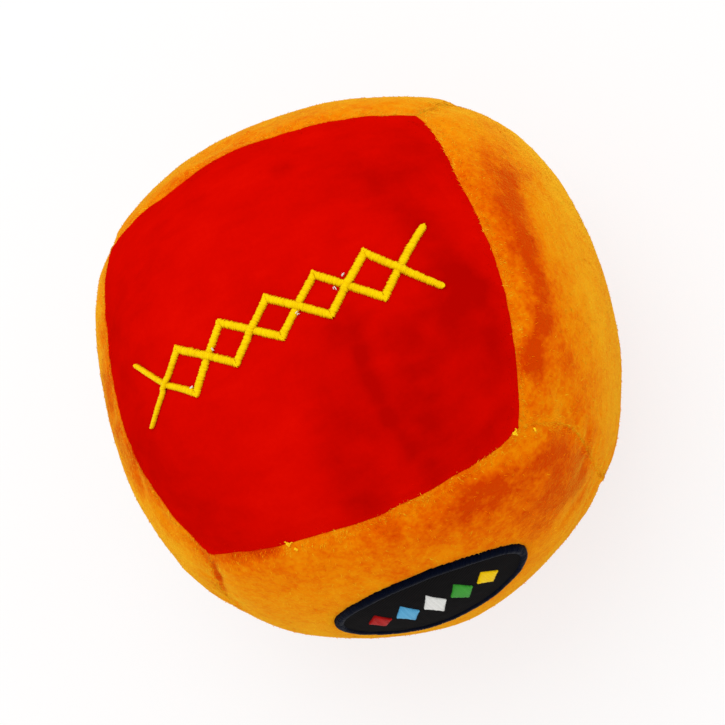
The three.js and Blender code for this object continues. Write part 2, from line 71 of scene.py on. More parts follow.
# Small unevenness of the stuffing, which the solids leave out
LUMP_SPREAD = 0.12
LUMPS = [  # azimuth and elevation in degrees, height
    (30, -3, 0.8), (57, 17, -1.0), (162, 25, -0.5), (175, 26, -0.9), (195, 21, 0.8),
    (271, -17, 1.0), (296, -19, -0.6), (321, -20, 1.1), (341, -17, 0.5),
]

# Layers of smooth noise in the cover: height, size, seed
COVER_NOISE = [(0.35, 24, 1), (0.15, 8, 2)]
SEAM_NOISE = [(0.2, 6.5, 3)]
SEAM_NOISE_REACH = 7.0
ORANGE_NOISE = [(0.08, 2.2, 7)]
EDGE_NOISE = [(0.35, 6, 4)]
PUCKER_DRIFT = [(5, 15, 5)]
PUCKER_FADE = [(0.6, 11, 6)]

# Cover
FABRIC = 2.4
SEAM_ALLOWANCE = 9.0
SEAM_PLY = 1.4
SEAM_DRAW = 0.35
SEAM_ROLL = 3.5
TOP_SEAM_DRAW = 0.4
TOP_SEAM_BLEND = 0.15
PUCKER_DEPTH = 0.12
PUCKER_LEAST = 0.4
PUCKER_LENGTH = 8.5
PUCKER_REACH = 5.0
TOP_PAST = 6.0
TOP_REACH = 16.0
TOP_CUT = [  # azimuth in degrees, share of the most that the top panel runs past the cube's edge
    (0, 0.35), (22, 0.2), (45, 0.75), (60, 0.25), (77, 0.12), (97, 0.35), (114, -0.3),
    (135, 1.0), (157, 0.5), (182, 1.0), (198, 1.0), (213, 0.6), (225, 0.2), (255, 0.05),
    (272, 0.18), (293, 0.1), (307, 0.22), (315, 0.1), (326, 0.1), (340, 0.3), (360, 0.35),
]
CORNER_CUTS = [(45, 0.9), (315, 0.8)]  # azimuth in degrees, how far the top panel's corner is rounded off
CORNER_SPAN = 3.0
CORNER_EASE = 9.0
CORNER_SLACK = 0.8
CREASES = {  # by panel: line in millimetres from its middle, half width, depth
    "right": [([(-58, 36), (-53, 30), (-51, 16)], 1.3, 0.3)],
    "front": [([(-68, 63), (-67.4, 52)], 1.4, 0.5), ([(-67.4, 56), (-67, 42)], 1.6, 0.25)],
}

# The seam between front and right bows towards the right panel
SIDE_BOW = 7.5
SIDE_AZIMUTH = 315
SIDE_REACH = 13.0
SIDE_LOW = -10.0
SIDE_TALL = 67.0
SIDE_LEAN = 1.8

# Cloth pass: the stuffing presses the panels out between their pinned seams
CLOTH_LINES = 44
CLOTH_FRAMES = 20
CLOTH_START = 2.0
CLOTH_SETTINGS = {
    "quality": 6,
    "vertex_group_mass": "seams",
    "use_pressure": True,
    "uniform_pressure_force": 8.0,
    "shrink_min": -0.03,
    "bending_stiffness": 5.0,
    "tension_stiffness": 15.0,
    "compression_stiffness": 15.0,
    "shear_stiffness": 5.0,
    "air_damping": 2.0,
}
CLOTH_SHARE = 0.7
CLOTH_CAP = 0.9
CLOTH_FADE = 1.5
settled = {}

# Panels
PANEL_LINES = 230
BACK_STEP = 5
LINE_CROWDING = radians(67)

# Pile
PILE_DEPTH = 0.5
RED_PILE = 0.9
ORANGE_PILE = 1.25
PILE_SINK = 0.25
PILE_OFF_FLOOR = 4.0
PILE_TRIES = 60000
PILE_SEED = 40
PILE_SEED_STEP = 5
PILE_BAND = 2.6
PILE_THIN = {"top": 0.0, "base": 0.02, "front": 0.06, "rear": 0.06, "left": 0.06, "right": 0.06}
PILE_ROUNDNESS = 0.2
PILE_ANGLES = (72, 86)
PILE_LENGTHS = (0.7, 1.3)
PILE_SLENDERNESS = (0.1, 0.16)
NAP_SWIRL = 0.9
NAP_SWIRL_SIZE = 14
NAP_SCATTER = 0.35
EDGE_LEAN = 0.8
EDGE_LEAN_REACH = 2.5

# Tones of the pile, with layers of noise: height, size, seed
RED_TONE = 0.5
RED_MOTTLE = [(0.08, 30, 11), (0.08, 8, 12)]
RED_STREAKS = [(0.06, 2.4, 17)]
RED_STREAK = np.array([0.35, 1.0, 1.0])
ORANGE_TONE = 0.52
ORANGE_MOTTLE = [(0.12, 22, 13), (0.1, 8, 14), (0.12, 2.4, 15)]
STROKE_NOISE = [(0.35, 5, 16)]
INSIDE_TONE = 0.4
# The tufts' tone is lifted, painted light standing in for the sheen they lack, and spread at random
TUFT_TONE = (0.2, 0.2)
# Painted shade at each tuft's root and painted light at its tip
TUFT_PAINTED_SHADING = np.array([-0.02, -0.02, -0.02, 0.06])

# Painted shade and light of the brushed pile, with painted shade along some seams and in the creases, by
# panel: line in millimetres from its middle, half width, change of tone
NAP_PAINTED_SHADING = {
    "right": [
        ([(25, 47), (12, 51), (-6, 52), (-17, 52), (-24, 54), (-34, 58), (-46, 61)], 4.5, -0.36),
        ([(36, 42), (12, 53), (-24, 53), (-46, 60)], 9, -0.14),
        ([(38, 40), (28, 46)], 5, -0.16),
        ([(27, 46), (30, 25)], 4, -0.22),
        ([(41, 51), (19, 56), (0, 59)], 4, -0.16),
        ([(-10, 64), (-25, 63), (-36, 64)], 2, 0.04),
        ([(40, 5), (10, 15), (-14, 18)], 16, 0.2),
        ([(14, 38), (0, 40)], 6, 0.15),
        ([(-42, 43), (-52, 32), (-60, 22)], 9, -0.2),
    ],
    "front": [
        ([(33, 56), (44, 57)], 7, -0.3),
        ([(48, 57), (60, 50)], 8, -0.24),
        ([(62, 44), (60, 20), (58, 5)], 9, -0.22),
        ([(63, 22), (60, 8)], 6, -0.22),
        ([(1, 67), (9, 63)], 4, -0.16),
        ([(4, 62), (34, 62)], 9, -0.13),
        ([(44, 44), (58, 28)], 18, -0.26),
        ([(-66, 67), (-40, 68)], 2.5, -0.35),
        ([(-45, 40), (-10, 45)], 10, 0.12),
        ([(-68.2, 64), (-67.6, 53)], 1.7, -0.6),
        ([(-67.6, 55), (-67, 42)], 1.3, -0.45),
    ],
    "left": [
        ([(60, 66), (68, 60)], 4, -0.4),
        ([(18, 64), (46, 66)], 4, -0.25),
        ([(68.4, 64), (68.2, 50)], 1.5, -0.5),
        ([(-30, 60), (20, 62)], 14, -0.2),
        ([(-12, 54), (18, 52)], 8, -0.4),
    ],
    "rear": [
        ([(0, 64), (30, 64)], 5, -0.12),
    ],
    "top": [
        ([(18, -13), (11, -24), (8, -38), (5, -56)], 10, -0.32),
        ([(42, -18), (36, -34), (33, -50)], 15, -0.38),
        ([(21, -8), (20, -27), (22, -41)], 2.6, -0.2),
        ([(22, -41), (26, -53)], 2.2, -0.14),
        ([(19, -25), (21, -30)], 4, -0.22),
        ([(50, 13), (51, 0), (57, -12)], 6, -0.36),
        ([(54, -16), (60, -44)], 7, -0.28),
        ([(60, -58), (48, -62)], 5, -0.22),
        ([(-1, -58), (5, -60)], 5, -0.12),
        ([(40, 36), (46, 26), (57, 44)], 10, -0.26),
        ([(13, 47), (17, 47)], 2.5, -0.2),
        ([(-62, 25), (-58, -30), (-52, -56)], 14, -0.16),
    ],
}

# Lacing
LACING_DIAMONDS = 5
LACING_PITCH = 16.3
LACING_RISE = 8.5
LACING_DROP = 4.8
LACING_SPREAD = 2.65
LACING_UPPER_ENDS = {-1: (8.4, 14.0), 1: (10.8, 11.4)}  # reach past the last diamond, height
LACING_LOWER_ENDS = {-1: (11.0, -9.2), 1: (8.2, -11.6)}
LACING_BEND = (-41.1, 0.6)  # where the lower strand's left end bends
LACING_WIDTH = 2.2
LACING_TAPER = [(-52, 0.5), (-42, 0.72), (-34, 0.95), (38, 1.0), (50, 0.8)]  # place, share of the width
LACING_CROWN = 0.9
LACING_OFFSET = np.array([-1.0, -1.8])
LACING_TURN = radians(4.5)
LACING_CLEAR = 0.2
LACING_SEED = 7
CROSSING_LIFT = 0.7
CROSSING_REACH = 2.0

# Stitches
STITCH_PITCH = 0.27
STITCH_RADIUS = 0.17
STITCH_SIDES = 6
STITCH_SINK = 0.25
STITCH_UNEVEN = 0.03
STITCH_RAGGED = 0.1
STITCH_LEAST = 0.4
STITCH_SLANT = 0.12
STITCH_THICKNESS = (0.9, 1.15)
STITCH_TONES = (0.42, 0.7)
STITCH_PRESS = 0.5
STITCH_PRESS_REACH = 2.2
END_LEAST = 0.05
# Painted highlight on each stitch's arched crown and painted shade at its ends
ARCH_PAINTED_HIGHLIGHT = 0.25
ARCH_MIDDLE = 0.6

# Shreds of the stabiliser: place on the top panel, turn
WISPS = [
    (23.0, 4.4, 0.25), (19.4, 1.4, 1.9), (6.2, -1.8, 0.2), (-22.7, -1.5, 1.7), (-33.7, -9.5, 0.1),
]
WISP_SEED = 27
WISP_SHREDS = 3
WISP_SCATTER = 0.25
WISP_LENGTH = 1.2
WISP_LENGTHS = (0.25, 0.5)
WISP_RADIUS = 0.12
WISP_CROWN = 0.5
WISP_LIFT = 0.3

# Patch
PATCH_LENGTH = 68.0
PATCH_HEIGHT = 41.0
PATCH_OFFSET = np.array([2.5, 18.5])
PATCH_TWILL = 1.0
PATCH_SINK = 0.1
PATCH_PRESS = 0.5
PATCH_OVERLAP = 0.4
PATCH_SEED = 17
PATCH_RINGS = 24
PATCH_AROUND = 120
PATCH_BORDER = 3.2
PATCH_BORDER_COVER = 0.6
PATCH_BORDER_CROWN = 1.7
PATCH_BORDER_RADIUS = 0.27
PATCH_WRAPS = 400
PATCH_WRAP_SLANT = 0.012
LONG_STITCH_POINTS = 9
TWILL_SCALE = 330
TWILL_SLANT = radians(55)

# Motif of the patch: colour, place along the patch, half height
MOTIF = [("red", -19, 6.0), ("blue", -9.5, 7.5), ("white", 0, 8.5), ("green", 9.5, 7.5), ("yellow", 19, 6.0)]
MOTIF_HALF_WIDTH = 3.9
MOTIF_PITCH = 0.27
MOTIF_CROWN = 0.5
MOTIF_LIFT = 0.15
MOTIF_RAGGED = 0.06
MOTIF_LEAST = 0.3

# Closing seam, as shares of the half edge
CLOSING_START = -0.41
CLOSING_END = 0.95
CLOSING_RADIUS = 0.25
CLOSING_STITCHES = 30
CLOSING_STEPS = 8
CLOSING_SWING = 0.7
CLOSING_DEPTH = 1.3
CLOSING_TONE = 0.5
CLOSING_MOTTLE = [(0.2, 1.5, 32)]

# Knots at its two ends
KNOT_TURNS = {"left": 0.4, "right": 2.0}
KNOT_SCALE = 0.2
KNOT_STEPS = 60
KNOT_NEAR = 0.01
KNOT_HEIGHT = 0.8
KNOT_LIFT = 0.5
KNOT_TILT = 0.3
KNOT_TONE = 0.75
KNOT_MOTTLE = [(0.25, 1.0, 33)]
TAIL_STEPS = 8
TAIL_START = 0.4
TAIL_LENGTH = 0.8
TAIL_BEND = 0.8
TAIL_CURVE = 2.4
TAIL_LIFT = 0.6
TAIL_FALL = 0.4
TAIL_THINNESS = 0.8
CURLS = {"left": (-31.4, 66.8), "right": (67.4, 62.8)}  # where the thread shows again on the front panel
CURL_SCALE = 0.7
CURL_LIFT = 0.35

# Sewing and filling inside
LOOP_STEPS = 12
OVERLOCK_LOOPS = 40
OVERLOCK_SPAN = 0.88
OVERLOCK_RADIUS = 0.3
OVERLOCK_SIDES = 5
OVERLOCK_INSET = 1.5
OVERLOCK_REACH = 3.0
OVERLOCK_TONE = 0.5
OVERLOCK_MOTTLE = [(0.2, 2, 31)]
POUCH_ALLOWANCE = 4.5
POUCH_LOOPS = 130
POUCH_RADIUS = 45
DENT = 0.75
DENT_LAYERS = [(0.5, 1.0, 51), (0.25, 1 / 2.3, 52)]
WAVE_SEED = 53

# Colours as a picture shows them: at stops from the darkest tone to the lightest, or as a dark and a light
# tone
RED = [(0.0, (176, 3, 0)), (0.5, (206, 6, 0)), (1.0, (228, 14, 2))]
# Red tuft colours painted lighter than the skin's, standing in for the sheen and light the tufts lack
RED_TUFTS_PAINTED_LIGHTER = [(0.0, (200, 4, 0)), (0.5, (236, 10, 0)), (1.0, (255, 24, 4))]
RED_SHEEN = (1.0, 0.03, 0.0, 1)
ORANGE = [(0.0, (208, 58, 0)), (0.3, (228, 96, 0)), (0.55, (236, 126, 2)), (1.0, (242, 158, 12))]
# Orange tuft colours painted lighter than the skin's, standing in for the sheen and light the tufts lack
ORANGE_TUFTS_PAINTED_LIGHTER = [(0.0, (244, 74, 0)), (0.3, (255, 110, 0)), (0.55, (255, 142, 4)), (1.0, (255, 194, 34))]
ORANGE_SHEEN = (1.0, 0.72, 0.04, 1)
PLUSH = {  # colours, sheen and its tint, grain, depth of the fuzz
    "red_plush": (RED, 0.05, RED_SHEEN, 0.2, 0.0001),
    "red_tufts": (RED_TUFTS_PAINTED_LIGHTER, 0.05, RED_SHEEN, 0.2, 0),
    "orange_plush": (ORANGE, 0.9, ORANGE_SHEEN, 0.6, 0.0007),
    "orange_tufts": (ORANGE_TUFTS_PAINTED_LIGHTER, 0.0, ORANGE_SHEEN, 0.5, 0),
}
PLUSH_GRAIN = 700
PLUSH_FUZZ = 1300
# dark and light tones; the satin stitches' tone holds painted highlights on their arches and painted shade
# at their ends
THREADS = {
    "yellow_thread": ((224, 164, 0), (255, 224, 6)),
    "gold_thread": ((240, 166, 6), (255, 214, 30)),
    "navy_thread": ((2, 4, 11), (8, 14, 32)),
    "red_thread": ((120, 8, 8), (196, 22, 18)),
    "blue_thread": ((58, 140, 190), (110, 190, 226)),
    "white_thread": ((206, 206, 202), (244, 244, 240)),
    "green_thread": ((34, 122, 36), (76, 176, 62)),
}
THREAD_GRAIN = 2500
THREAD_FUZZ = 6000
LOOSE = {  # with the scale of the mottle and its depth
    "white_felt": ((214, 210, 200), (244, 242, 236), 900, 0.0003),
    "polyester_fibre": ((225, 225, 222), (248, 248, 246), 350, 0.002),
    "cotton_cloth": ((196, 186, 162), (222, 214, 194), 1200, 0.0003),
    "sand": ((150, 124, 84), (202, 178, 132), 1500, 0.0006),
}
TWILL = ((6, 5, 5), (20, 18, 19))
materials = {}

# Stage and camera
FLOOR_HALF = 6.0
FLOOR_TONE = (0.92, 0.92, 0.92, 1)
BACKDROP_WHITENESS = 0.72
STUDIO_LIGHT = 0.9
KEY_PLACE = (0.05, 0.6, 1.75)
KEY_SIZE = 1.4
KEY_POWER = 9
CAMERA_AZIMUTH = radians(37.74)
CAMERA_ELEVATION = radians(69.59)
CAMERA_ROLL = radians(-58.33)
CAMERA_DISTANCE = 876.5
CAMERA_LENS = 133.4
CAMERA_OFFSET = (0.72, 1.3)

X, Y, Z = np.eye(3)
QUARTER = pi / 4
PANELS = {  # axis, right, up
    "top": (Z, X, Y),
    "base": (-Z, X, -Y),
    "front": (-Y, X, Z),
    "rear": (Y, -X, Z),
    "left": (-X, -Y, Z),
    "right": (X, Y, Z),
}


def unit(vectors):
    return vectors / np.linalg.norm(vectors, axis=-1, keepdims=True)


def fading(distance, reach):
    """1 at no distance, falling smoothly to nothing past that reach."""
    return np.exp(-((distance / reach) ** 2))


def smooth_noise(points, size, seed):
    """Smooth random values from -1 to 1, in cells of that size."""
    cells = 24
    table = np.random.default_rng(seed).uniform(-1, 1, (cells, cells, cells))
    place = points / size
    cell = np.floor(place).astype(int)
    share = place - cell
    share = share**3 * (share * (share * 6 - 15) + 10)
    total = np.zeros(points.shape[:-1])
    for corner in itertools.product((0, 1), repeat=3):
        weight = np.prod(np.where(corner, share, 1 - share), axis=-1)
        i, j, k = np.moveaxis((cell + corner) % cells, -1, 0)
        total += weight * table[i, j, k]
    return total


def noise_layers(points, layers):
    """Sum of smooth noises, each given by its height, size and seed."""
    return sum(height * smooth_noise(points, size, seed) for height, size, seed in layers)


def line_distance(u, v, corners):
    """Distance from flat points to a zigzag line."""
    points = np.stack([u, v], axis=-1)
    corners = np.array(corners, float)
    least = np.full(u.shape, np.inf)
    for start, end in zip(corners[:-1], corners[1:]):
        leg = end - start
        share = np.clip((points - start) @ leg / (leg @ leg), 0, 1)
        least = np.minimum(least, np.linalg.norm(points - start - share[..., None] * leg, axis=-1))
    return least


# Form of the cover


def panel_direction(panel, alpha, beta):
    axis, right, up = PANELS[panel]
    return unit(axis + right * np.tan(alpha)[..., None] + up * np.tan(beta)[..., None])


def swelling(direction, swells, spread):
    """Height of rounded swells in given directions."""
    total = 0.0
    for azimuth, elevation, height in swells:
        a, e = radians(azimuth), radians(elevation)
        towards = np.array([cos(a) * cos(e), sin(a) * cos(e), sin(e)])
        total = total + height * np.exp((direction @ towards - 1) / spread**2)
    return total


def even_radius(direction):
    """Radius of the stuffed ball before its seams draw it in."""
    radius = BALL_RADIUS * (1 - SQUARENESS * ((direction**4).sum(-1) - EVEN_FOURTH))
    return radius + swelling(direction, SWELLS, SWELL_SPREAD)


def soft_least(a, b, blend):
    near = np.maximum(blend - np.abs(a - b), 0) / blend
    return np.minimum(a, b) - near * near * blend / 4


def round_curve(knots, azimuth):
    """A smooth curve through values that are given at some azimuths round the whole circle."""
    at, values = np.array(knots, float).T
    slopes = np.diff(values) / np.diff(at)
    tangents = (slopes + np.roll(slopes, 1)) / 2
    tangents = np.append(tangents, tangents[0])
    k = np.clip(np.searchsorted(at, azimuth, "right") - 1, 0, len(at) - 2)
    span = at[k + 1] - at[k]
    t = (azimuth - at[k]) / span
    start = values[k] * (1 + 2 * t) * (1 - t) ** 2 + tangents[k] * span * t * (1 - t) ** 2
    return start + values[k + 1] * t**2 * (3 - 2 * t) + tangents[k + 1] * span * t**2 * (t - 1)


def cut_top(direction):
    """Slides directions of the even cube down or up the side, most at the top panel's edge."""
    x, y, z = np.moveaxis(direction, -1, 0)
    from_edge = (z - np.maximum(np.abs(x), np.abs(y))) * BALL_RADIUS / sqrt(2)
    azimuth = np.degrees(np.arctan2(y, x)) % 360
    past = TOP_PAST * round_curve(TOP_CUT, azimuth) + noise_layers(direction * BALL_RADIUS, EDGE_NOISE)
    for corner, cut in CORNER_CUTS:
        past = past - cut * fading(azimuth - corner, CORNER_SPAN)
    past = past * fading(from_edge, TOP_REACH)
    down = direction * z[..., None] - Z
    down = down / np.maximum(np.linalg.norm(down, axis=-1, keepdims=True), TINY)
    return unit(direction + down * (past / BALL_RADIUS)[..., None])


def bow_side(direction):
    """Turns directions near the front-right seam about the upright axis, most near its upper end."""
    x, y, z = np.moveaxis(direction, -1, 0)
    azimuth = np.arctan2(y, x)
    across = (azimuth - radians(SIDE_AZIMUTH) + pi) % tau - pi
    flat = np.maximum(np.hypot(x, y), TINY)
    rise = np.clip((z * BALL_RADIUS * QUARTER / sin(QUARTER) - SIDE_LOW) / SIDE_TALL, 0, 1)
    bow = SIDE_BOW * np.sin(pi * rise**SIDE_LEAN) * fading(across * flat * BALL_RADIUS, SIDE_REACH)
    turned = azimuth + bow / (flat * BALL_RADIUS)
    return np.stack([np.cos(turned) * flat, np.sin(turned) * flat, z], axis=-1)


def seam_distance(direction):
    ordered = np.sort(np.abs(direction), axis=-1)
    return BALL_RADIUS * (ordered[..., 2] - ordered[..., 1]) / sqrt(2)


def puckers(direction):
    """Small waves along the seams, where the sewing gathers the plush."""
    place = direction * BALL_RADIUS
    ordered = np.sort(np.abs(direction), axis=-1)
    along = BALL_RADIUS * np.arctan2(ordered[..., 0], ordered[..., 2])
    wave = np.sin(tau * along / PUCKER_LENGTH + noise_layers(place, PUCKER_DRIFT))
    depth = PUCKER_DEPTH * (PUCKER_LEAST + noise_layers(place, PUCKER_FADE))
    return depth * wave * fading(seam_distance(direction), PUCKER_REACH)


def seam_draw(direction):
    """How deep the sewing draws the cover in: deeper round the top panel than between two side panels."""
    x, y, z = np.moveaxis(direction, -1, 0)
    by_top = np.clip((z - np.minimum(np.abs(x), np.abs(y))) / TOP_SEAM_BLEND + 0.5, 0, 1)
    corner = BALL_RADIUS * (np.abs(direction).max(-1) - np.abs(direction).min(-1))
    return (SEAM_DRAW + TOP_SEAM_DRAW * by_top) * (1 - CORNER_SLACK * fading(corner, CORNER_EASE))


def crease_depth(panel, u, v):
    """How deep the cover is folded in along its few creases."""
    depth = np.zeros(np.shape(u))
    for line, half_width, most in CREASES.get(panel, ()):
        depth = depth + most * fading(line_distance(u, v, line), half_width)
    return depth


def spline_weights(t):
    """Weights of four neighbours in a smooth cubic blend."""
    sixths = [(1 - t) ** 3, 3 * t**3 - 6 * t**2 + 4, -3 * t**3 + 3 * t**2 + 3 * t + 1, t**3]
    return [weight / 6 for weight in sixths]


def settled_move(panel, alpha, beta):
    """How far the cloth pass moved places of a panel, from its coarse grid."""
    if panel not in settled:
        return 0.0
    moves = np.pad(settled[panel], 1, mode="edge")
    place = [(angle / QUARTER + 1) / 2 * CLOTH_LINES for angle in (alpha, beta)]
    i, j = [np.clip(np.floor(p).astype(int), 0, CLOTH_LINES - 1) for p in place]
    total = 0.0
    for a, across in enumerate(spline_weights(place[0] - i)):
        for b, upwards in enumerate(spline_weights(place[1] - j)):
            total = total + across * upwards * moves[i + a, j + b]
    return total


def cover(panel, alpha, beta):
    """Points of the cover's outside on a panel, with their directions from the ball's middle."""
    flat = panel_direction(panel, alpha, beta)
    direction = bow_side(cut_top(flat))
    place = direction * BALL_RADIUS
    seam = seam_distance(flat)
    radius = even_radius(direction) + swelling(direction, LUMPS, LUMP_SPREAD) - PILE_DEPTH
    radius = radius + noise_layers(place, COVER_NOISE) + puckers(flat)
    radius = radius + noise_layers(place, SEAM_NOISE) * fading(seam, SEAM_NOISE_REACH)
    if panel != "top":
        radius = radius + noise_layers(place, ORANGE_NOISE)
    middle = panel_middle(panel)
    moved = settled_move(panel, alpha, beta) - crease_depth(panel, alpha * middle, beta * middle)
    radius = radius + moved * (1 - fading(seam, CLOTH_FADE))
    radius = radius - seam_draw(flat) * np.maximum(1 - seam / SEAM_ROLL, 0) ** 2
    fall = -direction[..., 2]
    plane = np.where(fall > REST_FROM, REST_RADIUS / np.maximum(fall, REST_FROM), 2 * BALL_RADIUS)
    return direction * soft_least(radius, plane, REST_BLEND)[..., None], direction


def panel_middle(panel):
    """Radius at a panel's middle, which turns millimetres along it into angles."""
    return float(even_radius(PANELS[panel][0]))


def on_panel(panel, u, v, lift=0.0):
    """Points lifted off a panel, u and v millimetres from its middle, with the surface's normals."""
    middle = panel_middle(panel)
    points, _ = cover(panel, u / middle, v / middle)
    step = 0.4
    along, _ = cover(panel, (u + step) / middle, v / middle)
    across, _ = cover(panel, u / middle, (v + step) / middle)
    normals = unit(np.cross(along - points, across - points))
    return points + normals * np.asarray(lift)[..., None], normals


# Meshes


def add_object(name, data):
    made = bpy.data.objects.new(name, data)
    bpy.context.scene.collection.objects.link(made)
    return made


def make_piece(name, slot, replaces, points, faces, tone=None, normals=None):
    """A piece of the ball from points in millimetres and groups of faces with equally many corners."""
    mesh = bpy.data.meshes.new(name)
    places = np.reshape(points, (-1, 3)) * MM + CENTRE
    corners = [face for group in faces for face in group.tolist()]
    mesh.from_pydata(places.tolist(), [], corners, shade_flat=False)
    if tone is not None:
        attribute = mesh.attributes.new("tone", "FLOAT", "POINT")
        attribute.data.foreach_set("value", np.asarray(tone, np.float32).ravel())
    if normals is not None:
        mesh.normals_split_custom_set_from_vertices(normals)
    mesh.materials.append(materials[slot])
    piece = add_object(name, mesh)
    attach(piece, "root")
    if replaces:
        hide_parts(*replaces)
    return piece


def grid_faces(index):
    """Quads over a grid of point numbers."""
    corners = [index[:-1, :-1], index[1:, :-1], index[1:, 1:], index[:-1, 1:]]
    return np.stack([c.ravel() for c in corners], axis=1)


def band_faces(ring, other):
    """Quads between two closed rings of equally many points."""
    return np.stack([ring, other, np.roll(other, -1), np.roll(ring, -1)], axis=1)


def rim(index):
    """Point numbers once round a grid's edge."""
    return np.concatenate([index[:-1, 0], index[-1, :-1], index[:0:-1, -1], index[0, :0:-1]])


def stitch_faces(fine, coarse):
    """Triangles between a fine closed ring and a coarse one."""
    step = len(fine) // len(coarse)
    onward = np.roll(fine, -1)
    fans = np.stack([fine, np.repeat(coarse, step), onward], axis=1)
    closers = np.stack([np.roll(fine[::step], -1), coarse, np.roll(coarse, -1)], axis=1)
    return np.concatenate([fans, closers])


def tubes(paths, normals, radii, sides):
    """Round threads along many paths of equally many points: points and groups of faces."""
    along = unit(np.gradient(paths, axis=1))
    side = unit(np.cross(along, normals))
    up = np.cross(side, along)
    turn = np.arange(sides) * tau / sides
    ring = side[:, :, None] * np.cos(turn)[:, None] + up[:, :, None] * np.sin(turn)[:, None]
    radii = np.broadcast_to(radii, paths.shape[:2])
    points = paths[:, :, None] + ring * radii[:, :, None, None]
    index = np.arange(points[..., 0].size).reshape(points.shape[:3])
    here, ahead = index[:, :-1], index[:, 1:]
    corners = [here, ahead, np.roll(ahead, -1, axis=2), np.roll(here, -1, axis=2)]
    walls = np.stack([c.ravel() for c in corners], axis=1)
    return points.reshape(-1, 3), [walls, index[:, 0], index[:, -1, ::-1]]


def thread(path, normals, radius, sides=STITCH_SIDES):
    """One round thread along a path."""
    return tubes(path[None], np.broadcast_to(normals, path.shape)[None], radius, sides)


def merged(parts):
    """Several sets of points and groups of faces as one set."""
    counts = np.cumsum([0] + [len(points) for points, _ in parts])
    alike = zip(*[groups for _, groups in parts])
    groups = [np.concatenate([group + count for group, count in zip(same, counts)]) for same in alike]
    return np.concatenate([points for points, _ in parts]), groups


def settle_cover():
    """Cloth pass over the whole cover: notes how far each place moves from the even form, capped."""
    lines = np.linspace(-QUARTER, QUARTER, CLOTH_LINES + 1)
    alpha, beta = np.meshgrid(lines, lines, indexing="ij")
    inside = (1 - (alpha / QUARTER) ** 4) * (1 - (beta / QUARTER) ** 4)
    goals, direction = np.swapaxes([cover(panel, alpha, beta) for panel in PANELS], 0, 1)
    starts = (goals - direction * (CLOTH_START * inside)[..., None]).reshape(-1, 3)
    shape = goals.shape[:3]
    goals = goals.reshape(-1, 3)
    _, first, same = np.unique(np.round(goals, 3), axis=0, return_index=True, return_inverse=True)
    grids = same.reshape(shape)

    # Thin closed cloth, held at its seams
    mesh = bpy.data.meshes.new("cover_cloth")
    faces = np.concatenate([grid_faces(grid) for grid in grids])
    mesh.from_pydata((starts[first] * MM).tolist(), [], faces.tolist())
    ball = add_object("cover_cloth", mesh)
    held = ball.vertex_groups.new(name="seams")
    held.add(np.unique([rim(grid) for grid in grids]).tolist(), 1.0, "REPLACE")
    modifier = ball.modifiers.new("cloth", "CLOTH")
    modifier.settings.effector_weights.gravity = 0
    for name, value in CLOTH_SETTINGS.items():
        setattr(modifier.settings, name, value)
    modifier.point_cache.frame_end = CLOTH_FRAMES
    for number in range(1, CLOTH_FRAMES + 1):
        bpy.context.scene.frame_set(number)
    pressed = ball.evaluated_get(bpy.context.evaluated_depsgraph_get()).data
    places = np.zeros(len(first) * 3)
    pressed.vertices.foreach_get("co", places)

    # Moves in and out from the even form, on each panel's grid
    moves = np.linalg.norm(places.reshape(-1, 3) / MM, axis=1) - np.linalg.norm(goals[first], axis=1)
    moves = np.clip(CLOTH_SHARE * (moves - np.median(moves)), -CLOTH_CAP, CLOTH_CAP)
    settled.update(zip(PANELS, moves[grids]))
    bpy.data.objects.remove(ball)
    bpy.data.meshes.remove(mesh)
    bpy.context.scene.frame_set(1)


# Materials


def feed(tree, node, sockets):
    """Sets a node's sockets, each to a value or from another node's output."""
    for name, value in sockets.items():
        if isinstance(value, bpy.types.NodeSocket):
            tree.links.new(value, node.inputs[name])
        else:
            node.inputs[name].default_value = value


def add_node(tree, kind, sockets):
    node = tree.nodes.new(f"ShaderNode{kind}")
    feed(tree, node, sockets)
    return node


def new_material(name):
    """A material's node tree and shader."""
    materials[name] = bpy.data.materials.new(name)
    materials[name].use_nodes = True
    tree = materials[name].node_tree
    return tree, tree.nodes["Principled BSDF"]


def srgb(red, green, blue):
    """A colour as a picture shows it, from 0 to 255, as linear light."""
    levels = np.array([red, green, blue]) / 255
    linear = np.where(levels <= 0.04045, levels / 12.92, ((levels + 0.055) / 1.055) ** 2.4)
    return (*linear, 1.0)


def noise_value(tree, scale, detail=2.0):
    """A noise texture in the object's own metres."""
    place = add_node(tree, "TexCoord", {}).outputs["Object"]
    return add_node(tree, "TexNoise", {"Vector": place, "Scale": scale, "Detail": detail}).outputs["Fac"]


def own_value(tree, name):
    """What the piece's points say by that name."""
    attribute = add_node(tree, "Attribute", {})
    attribute.attribute_name = name
    return attribute.outputs


def math_value(tree, operation, a, b):
    node = add_node(tree, "Math", {0: a, 1: b})
    node.operation = operation
    return node.outputs["Value"]


def ramp_colour(tree, value, stops):
    """Colours at some stops, blended by a value."""
    ramp = add_node(tree, "ValToRGB", {"Fac": value})
    elements = ramp.color_ramp.elements
    while len(elements) < len(stops):
        elements.new(0.5)
    for element, (position, colour) in zip(elements, stops):
        element.position = position
        element.color = srgb(*colour)
    return ramp.outputs["Color"]


def bump(tree, height, strength, distance):
    sockets = {"Height": height, "Strength": strength, "Distance": distance}
    return add_node(tree, "Bump", sockets).outputs["Normal"]


def toned_value(tree, scale, amount):
    """The piece's own tone with a fine grain over it."""
    grain = math_value(tree, "MULTIPLY", noise_value(tree, scale, detail=3), amount)
    grain = math_value(tree, "SUBTRACT", grain, amount / 2)
    return math_value(tree, "ADD", own_value(tree, "tone")["Fac"], grain)


